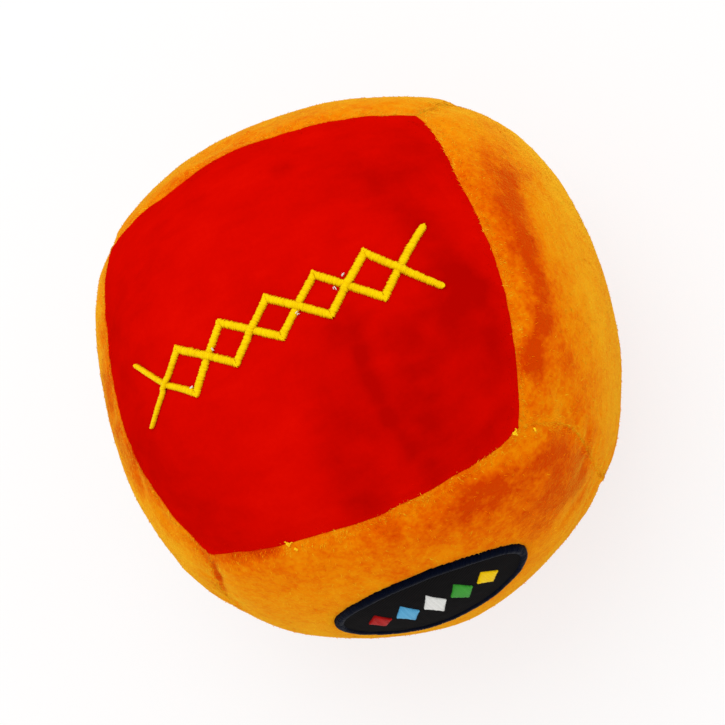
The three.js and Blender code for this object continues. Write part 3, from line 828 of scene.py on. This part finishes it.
def plush_material(name, stops, sheen, sheen_tint, grain, fuzz_depth):
    tree, shader = new_material(name)
    sockets = {
        "Base Color": ramp_colour(tree, toned_value(tree, PLUSH_GRAIN, grain), stops),
        "Roughness": 1.0,
        "Specular IOR Level": 0.0,
        "Sheen Weight": sheen,
        "Sheen Roughness": 0.35,
        "Sheen Tint": sheen_tint,
    }
    if fuzz_depth:
        fuzz = noise_value(tree, PLUSH_FUZZ, detail=4)
        sockets["Normal"] = bump(tree, fuzz, strength=0.5, distance=fuzz_depth)
    feed(tree, shader, sockets)


def thread_material(name, dark, light):
    tree, shader = new_material(name)
    tone = toned_value(tree, THREAD_GRAIN, amount=0.3)
    sockets = {
        "Base Color": ramp_colour(tree, tone, [(0.1, dark), (0.9, light)]),
        "Roughness": 0.55,
        "Specular IOR Level": 0.12,
        "Specular Tint": srgb(*light),
        "Normal": bump(tree, noise_value(tree, THREAD_FUZZ), strength=0.3, distance=0.0001),
    }
    feed(tree, shader, sockets)


def loose_material(name, dark, light, scale, depth):
    """Fibre, felt, cloth or sand: mottled, matt and rough."""
    tree, shader = new_material(name)
    mottle = noise_value(tree, scale, detail=5)
    sockets = {
        "Base Color": ramp_colour(tree, mottle, [(0.3, dark), (0.7, light)]),
        "Roughness": 1.0,
        "Specular IOR Level": 0.1,
        "Normal": bump(tree, mottle, strength=0.6, distance=depth),
    }
    feed(tree, shader, sockets)


def twill_material(name, dark, light):
    """Diagonal ribs of a twill weave, along the cloth's own flat places."""
    tree, shader = new_material(name)
    place = {"Vector": own_value(tree, "flat_place")["Vector"], "Rotation": (0, 0, TWILL_SLANT)}
    turned = add_node(tree, "Mapping", place).outputs["Vector"]
    wave = {"Vector": turned, "Scale": TWILL_SCALE, "Distortion": 0.5}
    ribs = add_node(tree, "TexWave", wave).outputs["Fac"]
    sockets = {
        "Base Color": ramp_colour(tree, ribs, [(0.2, dark), (0.8, light)]),
        "Roughness": 0.9,
        "Specular IOR Level": 0.05,
        "Normal": bump(tree, ribs, strength=0.4, distance=0.0002),
    }
    feed(tree, shader, sockets)


def build_materials():
    for name, looks in PLUSH.items():
        plush_material(name, *looks)
    for name, colours in THREADS.items():
        thread_material(name, *colours)
    for name, looks in LOOSE.items():
        loose_material(name, *looks)
    twill_material("black_twill", *TWILL)


# Lacing path


def lacing_zigzag(upwards):
    """Corner points of one lacing strand, in millimetres from the top panel's middle."""
    half = LACING_DIAMONDS / 2
    points = []
    for k in range(LACING_DIAMONDS + 2):
        above = (k % 2 == 1) == (upwards > 0)
        u = (k - half - 0.5) * LACING_PITCH
        v = LACING_RISE if above else -LACING_DROP - LACING_SPREAD * (u / LACING_PITCH / 2) ** 2
        if k in (0, LACING_DIAMONDS + 1):
            end = -1 if k == 0 else 1
            reach, v = (LACING_UPPER_ENDS if above else LACING_LOWER_ENDS)[end]
            u = end * (half * LACING_PITCH + reach)
        points.append((u, v))
    if upwards < 0:
        points.insert(1, LACING_BEND)
    cosine, sine = cos(LACING_TURN), sin(LACING_TURN)
    return np.array(points) @ np.array([[cosine, sine], [-sine, cosine]]) + LACING_OFFSET


def lacing_distance(u, v):
    return np.minimum(*[line_distance(u, v, lacing_zigzag(way)) for way in (1, -1)])


def in_patch(u, v, margin):
    """Whether flat points of the front panel lie inside the patch's outline, or within a margin of it."""
    du, dv = u - PATCH_OFFSET[0], v - PATCH_OFFSET[1]
    return (du / (PATCH_LENGTH / 2 + margin)) ** 2 + (dv / (PATCH_HEIGHT / 2 + margin)) ** 2 < 1


# Cover panels and their pile


def panel_tone(panel, u, v, points):
    """How light the pile looks, from 0 to 1: its own random mottle, with painted shade and light of the nap,
    seams and creases.
    """
    if panel == "top":
        tone = RED_TONE + noise_layers(points, RED_MOTTLE) + noise_layers(points * RED_STREAK, RED_STREAKS)
    else:
        tone = ORANGE_TONE + noise_layers(points, ORANGE_MOTTLE)
    uneven = 1 + noise_layers(points, STROKE_NOISE)
    # painted shade and light along the strokes
    for line, half_width, change in NAP_PAINTED_SHADING.get(panel, ()):
        tone = tone + change * uneven * fading(line_distance(u, v, line), half_width)
    return tone


def panel_lines(count):
    share = np.linspace(-1, 1, count + 1)
    return QUARTER * np.sin(share * LINE_CROWDING) / sin(LINE_CROWDING)


def panel_skin(panel):
    """A closed skin: outside, seam allowances turned in all round, and a coarser inside."""
    lines = panel_lines(PANEL_LINES)
    alpha, beta = np.meshgrid(lines, lines, indexing="ij")
    outside, direction = cover(panel, alpha, beta)
    u, v = alpha * panel_middle(panel), beta * panel_middle(panel)
    if panel == "top":
        pressed = STITCH_PRESS * fading(lacing_distance(u, v), STITCH_PRESS_REACH)
        outside = outside - direction * pressed[..., None]
    if panel == "front":
        outside = outside - direction * np.where(in_patch(u, v, 0), PATCH_PRESS, 0)[..., None]
    index = np.arange(alpha.size).reshape(alpha.shape)
    edge = rim(index)
    edge_points, edge_direction = outside.reshape(-1, 3)[edge], direction.reshape(-1, 3)[edge]
    down = edge_points - edge_direction * SEAM_ALLOWANCE
    ply = PANELS[panel][0] * SEAM_PLY * sqrt(2)
    back = down - edge_direction * SEAM_PLY + ply
    inside = (outside - direction * FABRIC)[::BACK_STEP, ::BACK_STEP]
    inside_index = np.arange(inside[..., 0].size).reshape(inside.shape[:2])
    inside = inside.reshape(-1, 3)
    folded = edge_points - edge_direction * (FABRIC + SEAM_PLY) + ply
    inside[rim(inside_index)] = folded[::BACK_STEP]
    points = np.concatenate([outside.reshape(-1, 3), down, back, inside])
    down_ring = index.size + np.arange(len(edge))
    back_ring = down_ring + len(edge)
    inside_index = inside_index + back_ring[-1] + 1
    quads = [
        grid_faces(index),
        band_faces(edge, down_ring),
        band_faces(down_ring, back_ring),
        grid_faces(inside_index)[:, ::-1],
    ]
    tone = np.full(len(points), INSIDE_TONE)
    tone[: index.size] = panel_tone(panel, u, v, outside).ravel()
    return points, np.concatenate(quads), stitch_faces(back_ring, rim(inside_index)), tone


def pile(panel, seed):
    """Tapered tufts that lean with the nap, and over the seams at the panel's edge."""
    rng = np.random.default_rng(seed)
    alpha, beta = rng.uniform(-QUARTER, QUARTER, (2, PILE_TRIES))
    density = 1 / (np.cos(alpha) * np.cos(beta)) ** 2 / (1 + np.tan(alpha) ** 2 + np.tan(beta) ** 2) ** 1.5
    seam = seam_distance(panel_direction(panel, alpha, beta))
    density = density * np.maximum(fading(seam, PILE_BAND), PILE_THIN[panel])
    kept = rng.random(PILE_TRIES) < density
    middle = panel_middle(panel)
    u, v = alpha * middle, beta * middle
    if panel == "top":
        kept &= lacing_distance(u, v) > LACING_WIDTH / 2 + LACING_CLEAR
    if panel == "front":
        kept &= ~in_patch(u, v, -PATCH_OVERLAP)
    u, v = u[kept], v[kept]
    roots, normals = on_panel(panel, u, v, np.zeros(len(u)))
    free = roots[:, 2] >= PILE_OFF_FLOOR - REST_RADIUS
    roots, normals, u, v = roots[free], normals[free], u[free], v[free]

    # Which way each tuft leans
    axis = PANELS[panel][0]
    swirl = np.stack([smooth_noise(roots, NAP_SWIRL_SIZE, seed + k) for k in range(3)], axis=1)
    nap = -Z if abs(axis[2]) < 0.5 else -Y
    lean = nap + NAP_SWIRL * swirl + rng.normal(0, NAP_SCATTER, roots.shape)
    flat = panel_direction(panel, u / middle, v / middle)
    over_edge = EDGE_LEAN * np.clip(1 - seam_distance(flat) / EDGE_LEAN_REACH, 0, 1)
    lean = lean + unit(flat - axis * NEARLY_ONE) * over_edge[:, None]
    lean = unit(lean - normals * (lean * normals).sum(1, keepdims=True))
    angle = np.radians(rng.uniform(*PILE_ANGLES, len(roots)))
    length = (RED_PILE if panel == "top" else ORANGE_PILE) * rng.uniform(*PILE_LENGTHS, len(roots))
    way = normals * np.cos(angle)[:, None] + lean * np.sin(angle)[:, None]

    # Three-sided cones
    tips = roots + way * length[:, None]
    roots = roots - normals * PILE_SINK
    side = unit(np.cross(normals, lean))
    rise = np.cross(side, way)
    radius = length * rng.uniform(*PILE_SLENDERNESS, len(roots))
    turn = np.arange(3) * tau / 3
    ring = side[:, None] * np.cos(turn)[:, None] + rise[:, None] * np.sin(turn)[:, None]
    base = roots[:, None] + ring * radius[:, None, None]
    points = np.concatenate([base, tips[:, None]], axis=1)
    index = np.arange(len(roots) * 4).reshape(-1, 4)
    faces = [index[:, corners] for corners in ([1, 0, 3], [2, 1, 3], [0, 2, 3], [0, 1, 2])]
    tone = panel_tone(panel, u, v, roots) + rng.normal(*TUFT_TONE, len(roots))
    # painted shade at the roots, painted light at the tips
    tones = tone[:, None] + TUFT_PAINTED_SHADING
    shading = unit(normals[:, None] + PILE_ROUNDNESS * np.concatenate([ring, way[:, None]], axis=1))
    return points.reshape(-1, 3), np.concatenate(faces), tones.ravel(), shading.reshape(-1, 3)


def build_panels():
    for number, panel in enumerate(PANELS):
        points, quads, triangles, tone = panel_skin(panel)
        tufts, tuft_faces, tuft_tone, tuft_normals = pile(panel, PILE_SEED + PILE_SEED_STEP * number)
        colour = "red" if panel == "top" else "orange"
        piece = make_piece(
            f"{panel}_panel_plush",
            f"{colour}_plush",
            [f"{panel}_panel"],
            np.concatenate([points, tufts]),
            [quads, triangles, tuft_faces + len(points)],
            np.concatenate([tone, tuft_tone]),
            np.concatenate([np.zeros_like(points), tuft_normals]),
        )
        piece.data.materials.append(materials[f"{colour}_tufts"])
        kinds = np.repeat([0, 1], [len(quads) + len(triangles), len(tuft_faces)])
        piece.data.polygons.foreach_set("material_index", kinds.astype(np.int32))


# Embroidery


def satin_stitches(corners, width, taper, pitch, rng):
    """Stitches across a zigzag column with mitred corners: their two ends, as flat points."""
    legs = np.diff(corners, axis=0)
    headings = np.arctan2(legs[:, 1], legs[:, 0])
    turns = (np.diff(headings) + pi) % tau - pi
    turns = np.concatenate([[0], turns, [0]])
    starts, ends = [], []
    for k, leg in enumerate(legs):
        length = np.linalg.norm(leg)
        along = leg / length
        left = np.array([-along[1], along[0]])
        before, after = np.tan(turns[k] / 2), np.tan(turns[k + 1] / 2)
        reach = np.array([-abs(before), abs(after)]) * width / 2 + [0, length]
        x = np.arange(reach[0], reach[1], pitch)
        low, high = np.full(len(x), -width / 2), np.full(len(x), width / 2)
        for slope, ahead in ((before, x), (after, length - x)):
            if slope > 0:
                high = np.minimum(high, ahead / slope)
            if slope < 0:
                low = np.maximum(low, ahead / slope)
        share = np.interp((corners[k] + along * x[:, None])[:, 0], *np.transpose(taper))
        for at_end, ahead in ((k == 0, x), (k == len(legs) - 1, length - x)):
            if at_end:
                near = 1 - np.minimum(ahead / (width / 2), 1)
                share = share * np.sqrt(np.clip(1 - near**2, END_LEAST, 1))
        low = (low + rng.normal(-STITCH_RAGGED, STITCH_RAGGED, len(x))) * share
        high = (high + rng.normal(STITCH_RAGGED, STITCH_RAGGED, len(x))) * share
        kept = high - low > STITCH_LEAST
        for made, across in ((starts, low[kept]), (ends, high[kept])):
            forward = x[kept] - STITCH_SLANT * across
            made.append(corners[k] + along * forward[:, None] + left * across[:, None])
    return np.concatenate(starts), np.concatenate(ends)


def stitch_threads(panel, starts, ends, crown, radius, rng, lift=0.0, points=7):
    """Arched threads between flat points, lifted by a height or a function: points, faces and tones, the
    tones with a painted highlight on each arch's crown and painted shade at its ends.
    """
    share = np.linspace(0, 1, points)
    flat = starts[:, None] + (ends - starts)[:, None] * share[:, None]
    u, v = flat[..., 0], flat[..., 1]
    arch = np.sqrt(np.maximum(1 - (2 * share - 1) ** 2, 0))
    height = crown * arch - STITCH_SINK + rng.normal(0, STITCH_UNEVEN, len(starts))[:, None]
    height = height + (lift(u, v) if callable(lift) else lift)
    paths, normals = on_panel(panel, u, v, height)
    radii = radius * rng.uniform(*STITCH_THICKNESS, (len(starts), 1))
    made, faces = tubes(paths, normals, radii, STITCH_SIDES)
    # painted highlight on the arch's crown, painted shade at its ends
    tone = rng.uniform(*STITCH_TONES, (len(starts), 1, 1)) + ARCH_PAINTED_HIGHLIGHT * (arch - ARCH_MIDDLE)[:, None]
    return made, faces, np.broadcast_to(tone, (len(starts), points, STITCH_SIDES))


def crossing_lift(u, v):
    """How far the upper strand climbs where it crosses the lower one."""
    away = line_distance(u, v, lacing_zigzag(-1))
    return CROSSING_LIFT * np.exp(-((away / CROSSING_REACH) ** 4))


def build_lacing():
    rng = np.random.default_rng(LACING_SEED)
    for way, strand, lift in ((-1, "lacing_under", 0.0), (1, "lacing_over", crossing_lift)):
        starts, ends = satin_stitches(lacing_zigzag(way), LACING_WIDTH, LACING_TAPER, STITCH_PITCH, rng)
        threads = stitch_threads("top", starts, ends, LACING_CROWN, STITCH_RADIUS, rng, lift)
        make_piece(f"{strand}_stitches", "yellow_thread", [strand], *threads)


def build_wisps():
    """Shreds of the torn-off stabiliser that show beside the stitches."""
    rng = np.random.default_rng(WISP_SEED)
    middles, ways = [], []
    for u, v, turn in WISPS:
        for angle in turn + rng.normal(0, WISP_SCATTER, WISP_SHREDS):
            middles.append(np.array([u, v]) + rng.normal(0, WISP_SCATTER, 2))
            half = WISP_LENGTH * rng.uniform(*WISP_LENGTHS)
            ways.append(np.array([cos(angle), sin(angle)]) * half)
    starts, ends = np.subtract(middles, ways), np.add(middles, ways)
    shreds = stitch_threads("top", starts, ends, WISP_CROWN, WISP_RADIUS, rng, WISP_LIFT)
    make_piece("backing_wisps", "white_felt", (), *shreds)


# Patch


def ellipse_points(inset, turn):
    """Flat points of the front panel along the patch's outline, some way inside it."""
    half_length, half_height = PATCH_LENGTH / 2 - inset, PATCH_HEIGHT / 2 - inset
    return PATCH_OFFSET + np.stack([half_length * np.cos(turn), half_height * np.sin(turn)], axis=-1)


def patch_ground():
    """Twill ground: rings of both sides round their middle points, with flat places for the weave."""
    share = np.linspace(0, 1, PATCH_RINGS + 1)[1:, None, None]
    turn = np.linspace(0, tau, PATCH_AROUND, endpoint=False)
    outline = ellipse_points(PATCH_BORDER * PATCH_BORDER_COVER, turn)
    flat = PATCH_OFFSET + share * (outline - PATCH_OFFSET)
    flat = np.concatenate([flat.reshape(-1, 2), [PATCH_OFFSET]])
    lifts = [np.full(len(flat), lift) for lift in (PATCH_TWILL, -PATCH_SINK)]
    points = np.concatenate([on_panel("front", *flat.T, lift)[0] for lift in lifts])
    rings = np.arange(PATCH_RINGS * PATCH_AROUND).reshape(PATCH_RINGS, PATCH_AROUND)
    rings = np.concatenate([rings, rings[::-1] + len(flat)])
    quads = [band_faces(ring, after) for ring, after in zip(rings[:-1], rings[1:])]
    ends = ((len(flat) - 1, rings[0]), (len(points) - 1, rings[-1, ::-1]))
    fans = [np.stack([np.full(len(ring), middle), ring, np.roll(ring, -1)], axis=1) for middle, ring in ends]
    faces = [np.concatenate(quads), np.concatenate(fans)]
    ground = make_piece("patch_ground", "black_twill", ["patch_twill"], points, faces)
    places = np.pad(np.concatenate([flat, flat]) * MM, ((0, 0), (0, 1)))
    attribute = ground.data.attributes.new("flat_place", "FLOAT_VECTOR", "POINT")
    attribute.data.foreach_set("vector", places.astype(np.float32).ravel())


def build_patch():
    rng = np.random.default_rng(PATCH_SEED)
    patch_ground()

    # Merrowed border: thread wrapped over the edge
    turn = np.linspace(0, tau, PATCH_WRAPS, endpoint=False)
    inner, outer = ellipse_points(PATCH_BORDER, turn + PATCH_WRAP_SLANT), ellipse_points(0, turn)
    looks = (PATCH_BORDER_CROWN, PATCH_BORDER_RADIUS, rng, 0.0, LONG_STITCH_POINTS)
    threads = stitch_threads("front", inner, outer, *looks)
    make_piece("patch_border_thread", "navy_thread", ["patch_border"], *threads)

    # Row of plain lozenges in satin stitch
    for colour, place, half_rise in MOTIF:
        across = np.arange(-MOTIF_HALF_WIDTH + MOTIF_LEAST, MOTIF_HALF_WIDTH, MOTIF_PITCH)
        ragged = rng.normal(0, MOTIF_RAGGED, len(across))
        reach = half_rise * (1 - np.abs(across) / MOTIF_HALF_WIDTH) + ragged
        middles = PATCH_OFFSET + np.stack([place + across, np.zeros(len(across))], axis=1)
        ways = np.stack([np.zeros(len(across)), np.maximum(reach, MOTIF_LEAST)], axis=1)
        looks = (MOTIF_CROWN, STITCH_RADIUS, rng, PATCH_TWILL + MOTIF_LIFT, LONG_STITCH_POINTS)
        threads = stitch_threads("front", middles - ways, middles + ways, *looks)
        make_piece(f"patch_lozenge_{colour}", f"{colour}_thread", (), *threads)


# Sewing and filling


def seam_line(first, second, shares):
    """Points along the seam of two panels, with the directions along, across and out of it."""
    _, right, up = PANELS[first]
    other = PANELS[second][0]
    beta = np.arctan(shares)
    edge = np.full(np.shape(shares), QUARTER * (other @ right + other @ up))
    points, out = cover(first, edge, beta) if other @ right else cover(first, beta, edge)
    along = unit(np.gradient(points, axis=0))
    return points, along, unit(np.cross(along, out)), out


def build_seams():
    """Overlock thread wound round the raw edges of each seam."""
    turns = np.linspace(0, OVERLOCK_LOOPS, OVERLOCK_LOOPS * LOOP_STEPS + 1)
    shares = (2 * turns / OVERLOCK_LOOPS - 1) * OVERLOCK_SPAN
    angle = turns * tau
    squared = [np.sign(f(angle)) * np.sqrt(np.abs(f(angle))) for f in (np.cos, np.sin)]
    reach = (SEAM_PLY + OVERLOCK_RADIUS) * squared[0]
    depth = SEAM_ALLOWANCE - OVERLOCK_INSET - OVERLOCK_REACH * squared[1]
    for first, second in itertools.combinations(PANELS, 2):
        name = f"seam_{first}_{second}"
        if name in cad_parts:
            points, _, across, out = seam_line(first, second, shares)
            path = points + across * reach[:, None] - out * depth[:, None]
            made, faces = thread(path, out, OVERLOCK_RADIUS, OVERLOCK_SIDES)
            tone = OVERLOCK_TONE + noise_layers(made, OVERLOCK_MOTTLE)
            make_piece(f"{name}_overlock", "gold_thread", [name], made, faces, tone)


def trefoil():
    """An overhand knot pulled into a ring, in its own plane."""
    t = np.linspace(0, tau, KNOT_STEPS)
    shape = [np.sin(t) + 2 * np.sin(2 * t), np.cos(t) - 2 * np.cos(2 * t), -KNOT_HEIGHT * np.sin(3 * t)]
    return KNOT_SCALE * np.stack(shape)[..., None]


def knot_tails(middle, lying, beside, out):
    """Two cut ends of thread that lie on the pile beside a knot."""
    share = np.linspace(0, 1, TAIL_STEPS)[:, None]
    bent = beside * TAIL_BEND * np.sin(share * TAIL_CURVE) + out * (TAIL_LIFT - TAIL_FALL * share**2)
    straight = lying * (TAIL_START + TAIL_LENGTH * share)
    paths = np.stack([middle + side * straight + bent for side in (-1, 1)])
    return tubes(paths, np.broadcast_to(out, paths.shape), CLOSING_RADIUS * TAIL_THINNESS, STITCH_SIDES)


def build_knot(name, share):
    """A knot at one end of the closing seam, its cut ends, and a curl of its thread on the front panel."""
    near = share + np.linspace(-KNOT_NEAR, KNOT_NEAR, 3)
    middle, along, across, out = [values[1] for values in seam_line("top", "front", near)]
    lying = np.cos(KNOT_TURNS[name]) * along + np.sin(KNOT_TURNS[name]) * across
    beside = np.cross(out, lying)
    x, y, z = trefoil()
    knot = middle + out * KNOT_LIFT + x * lying + y * beside + z * out
    u, v = np.array(CURLS[name])[:, None]
    place, curl_out = [values[0] for values in on_panel("front", u, v, np.array([CURL_LIFT]))]
    curl = place + CURL_SCALE * (x * lying + y * across + z * curl_out)
    parts = [
        thread(knot, out + KNOT_TILT * lying, CLOSING_RADIUS),
        knot_tails(middle, lying, beside, out),
        thread(curl, curl_out + KNOT_TILT * lying, CLOSING_RADIUS),
    ]
    made, faces = merged(parts)
    tone = KNOT_TONE + noise_layers(made, KNOT_MOTTLE)
    node = f"closing_knot_{name}"
    make_piece(f"{node}_thread", "gold_thread", [node], made, faces, tone)


def build_closing():
    """Ladder stitches that close the last stretch of seam, hidden in its fold, and the knots at its ends."""
    turns = np.linspace(0, CLOSING_STITCHES, CLOSING_STITCHES * CLOSING_STEPS + 1)
    shares = CLOSING_START + (CLOSING_END - CLOSING_START) * turns / CLOSING_STITCHES
    points, _, across, out = seam_line("top", "front", shares)
    path = points + across * (CLOSING_SWING * np.sin(turns * pi))[:, None] - out * CLOSING_DEPTH
    made, faces = thread(path, out, CLOSING_RADIUS)
    tone = CLOSING_TONE + noise_layers(made, CLOSING_MOTTLE)
    make_piece("closing_stitches", "gold_thread", ["closing_thread"], made, faces, tone)
    build_knot("left", CLOSING_START)
    build_knot("right", CLOSING_END)


def dressed_copy(node, name, slot, cuts, depth, size, radial=False):
    """A finer copy of a solid, its surface pushed in unevenly or, for a thin shell, waved in and out."""
    copy = bmesh.new()
    copy.from_mesh(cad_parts[node].data)
    bmesh.ops.remove_doubles(copy, verts=copy.verts[:], dist=TINY)
    bmesh.ops.subdivide_edges(copy, edges=copy.edges[:], cuts=cuts, use_grid_fill=True)
    bmesh.ops.triangulate(copy, faces=copy.faces[:])
    copy.normal_update()
    points = (np.array([v.co for v in copy.verts]) - CENTRE) / MM
    normals = np.array([v.normal for v in copy.verts])
    copy.verts.index_update()
    faces = np.array([[v.index for v in face.verts] for face in copy.faces])
    copy.free()
    if radial:
        outwards = unit(points)
        waves = smooth_noise(outwards * POUCH_RADIUS, size, WAVE_SEED)
        points = points + outwards * (depth * waves)[:, None]
    else:
        points = points - normals * (depth * (DENT + noise_layers(points / size, DENT_LAYERS)))[:, None]
    return make_piece(name, slot, [node], points, [faces])


def build_filling():
    for half in ("upper", "lower"):
        node = f"stuffing_{half}"
        stuffing = dressed_copy(node, f"{node}_fibre", "polyester_fibre", cuts=2, depth=1.2, size=7)
        node = f"pouch_{half}"
        cloth = dressed_copy(node, f"{node}_cloth", "cotton_cloth", cuts=2, depth=0.3, size=9, radial=True)
    dressed_copy("sand_fill", "sand_fill_grains", "sand", cuts=3, depth=0.5, size=1.6)
    backing = dressed_copy("lacing_backing", "lacing_backing_felt", "white_felt", cuts=1, depth=0.05, size=3)

    # Overlock thread wound round the pouch's seam
    outer = (pouch_high.x - pouch_low.x) / 2 / MM
    tall = (pouch_high.z - pouch_low.z) / 2 / MM - OVERLOCK_RADIUS
    turns = np.linspace(0, POUCH_LOOPS, POUCH_LOOPS * LOOP_STEPS + 1)
    around, angle = turns / POUCH_LOOPS * tau, turns * tau
    half = POUCH_ALLOWANCE / 2
    reach = outer - half + (half - OVERLOCK_RADIUS) * np.cos(angle)
    path = np.stack([reach * np.cos(around), reach * np.sin(around), tall * np.sin(angle)], axis=1)
    made, faces = thread(path, Z, OVERLOCK_RADIUS, OVERLOCK_SIDES)
    make_piece("pouch_seam_overlock", "cotton_cloth", ["pouch_seam"], made, faces)


# Scene


def build_stage():
    mesh = bpy.data.meshes.new("floor")
    corners = [(-1, -1), (1, -1), (1, 1), (-1, 1)]
    mesh.from_pydata([(x * FLOOR_HALF, y * FLOOR_HALF, 0) for x, y in corners], [], [(0, 1, 2, 3)])
    floor = add_object("floor", mesh)
    tree, shader = new_material("floor")
    feed(tree, shader, {"Base Color": FLOOR_TONE, "Roughness": 1.0, "Specular IOR Level": 0.0})
    rays = add_node(tree, "LightPath", {}).outputs
    seen = math_value(tree, "MAXIMUM", rays["Is Camera Ray"], rays["Is Glossy Ray"])
    seen = math_value(tree, "MAXIMUM", seen, rays["Is Transmission Ray"])
    whiteness = math_value(tree, "MULTIPLY", seen, BACKDROP_WHITENESS)
    white = add_node(tree, "Emission", {}).outputs["Emission"]
    blend = add_node(tree, "MixShader", {"Fac": whiteness, 1: shader.outputs["BSDF"], 2: white})
    feed(tree, tree.nodes["Material Output"], {"Surface": blend.outputs["Shader"]})
    mesh.materials.append(materials["floor"])
    world = bpy.data.worlds.new("studio")
    world.use_nodes = True
    bpy.context.scene.world = world
    background = {"Color": (1, 1, 1, 1), "Strength": STUDIO_LIGHT}
    feed(world.node_tree, world.node_tree.nodes["Background"], background)


def add_lamp():
    lamp = bpy.data.lights.new("key", "AREA")
    lamp.shape = "DISK"
    lamp.size = KEY_SIZE
    lamp.energy = KEY_POWER
    holder = add_object("key", lamp)
    holder.location = KEY_PLACE
    holder.rotation_mode = "QUATERNION"
    holder.rotation_quaternion = (Vector(CENTRE) - Vector(KEY_PLACE)).to_track_quat("-Z", "Y")


def add_camera():
    level = Vector((cos(CAMERA_AZIMUTH), sin(CAMERA_AZIMUTH), 0))
    towards = Vector((sin(CAMERA_AZIMUTH), -cos(CAMERA_AZIMUTH), 0))
    back = towards * cos(CAMERA_ELEVATION) + Vector(Z) * sin(CAMERA_ELEVATION)
    right = Matrix.Rotation(CAMERA_ROLL, 3, back) @ level
    up = back.cross(right)
    place = back * CAMERA_DISTANCE + right * CAMERA_OFFSET[0] + up * CAMERA_OFFSET[1]
    data = bpy.data.cameras.new("camera")
    data.sensor_width = 36
    data.lens = CAMERA_LENS
    data.clip_start = 0.01
    data.clip_end = 50
    camera = add_object("camera", data)
    turned = Matrix((right, up, back)).transposed().to_4x4()
    camera.matrix_world = Matrix.Translation(Vector(CENTRE) + place * MM) @ turned
    bpy.context.scene.camera = camera


build_materials()
settle_cover()
build_panels()
build_lacing()
build_wisps()
build_patch()
build_seams()
build_closing()
build_filling()
build_stage()
add_lamp()
add_camera()
bpy.context.scene.view_settings.view_transform = "Standard"
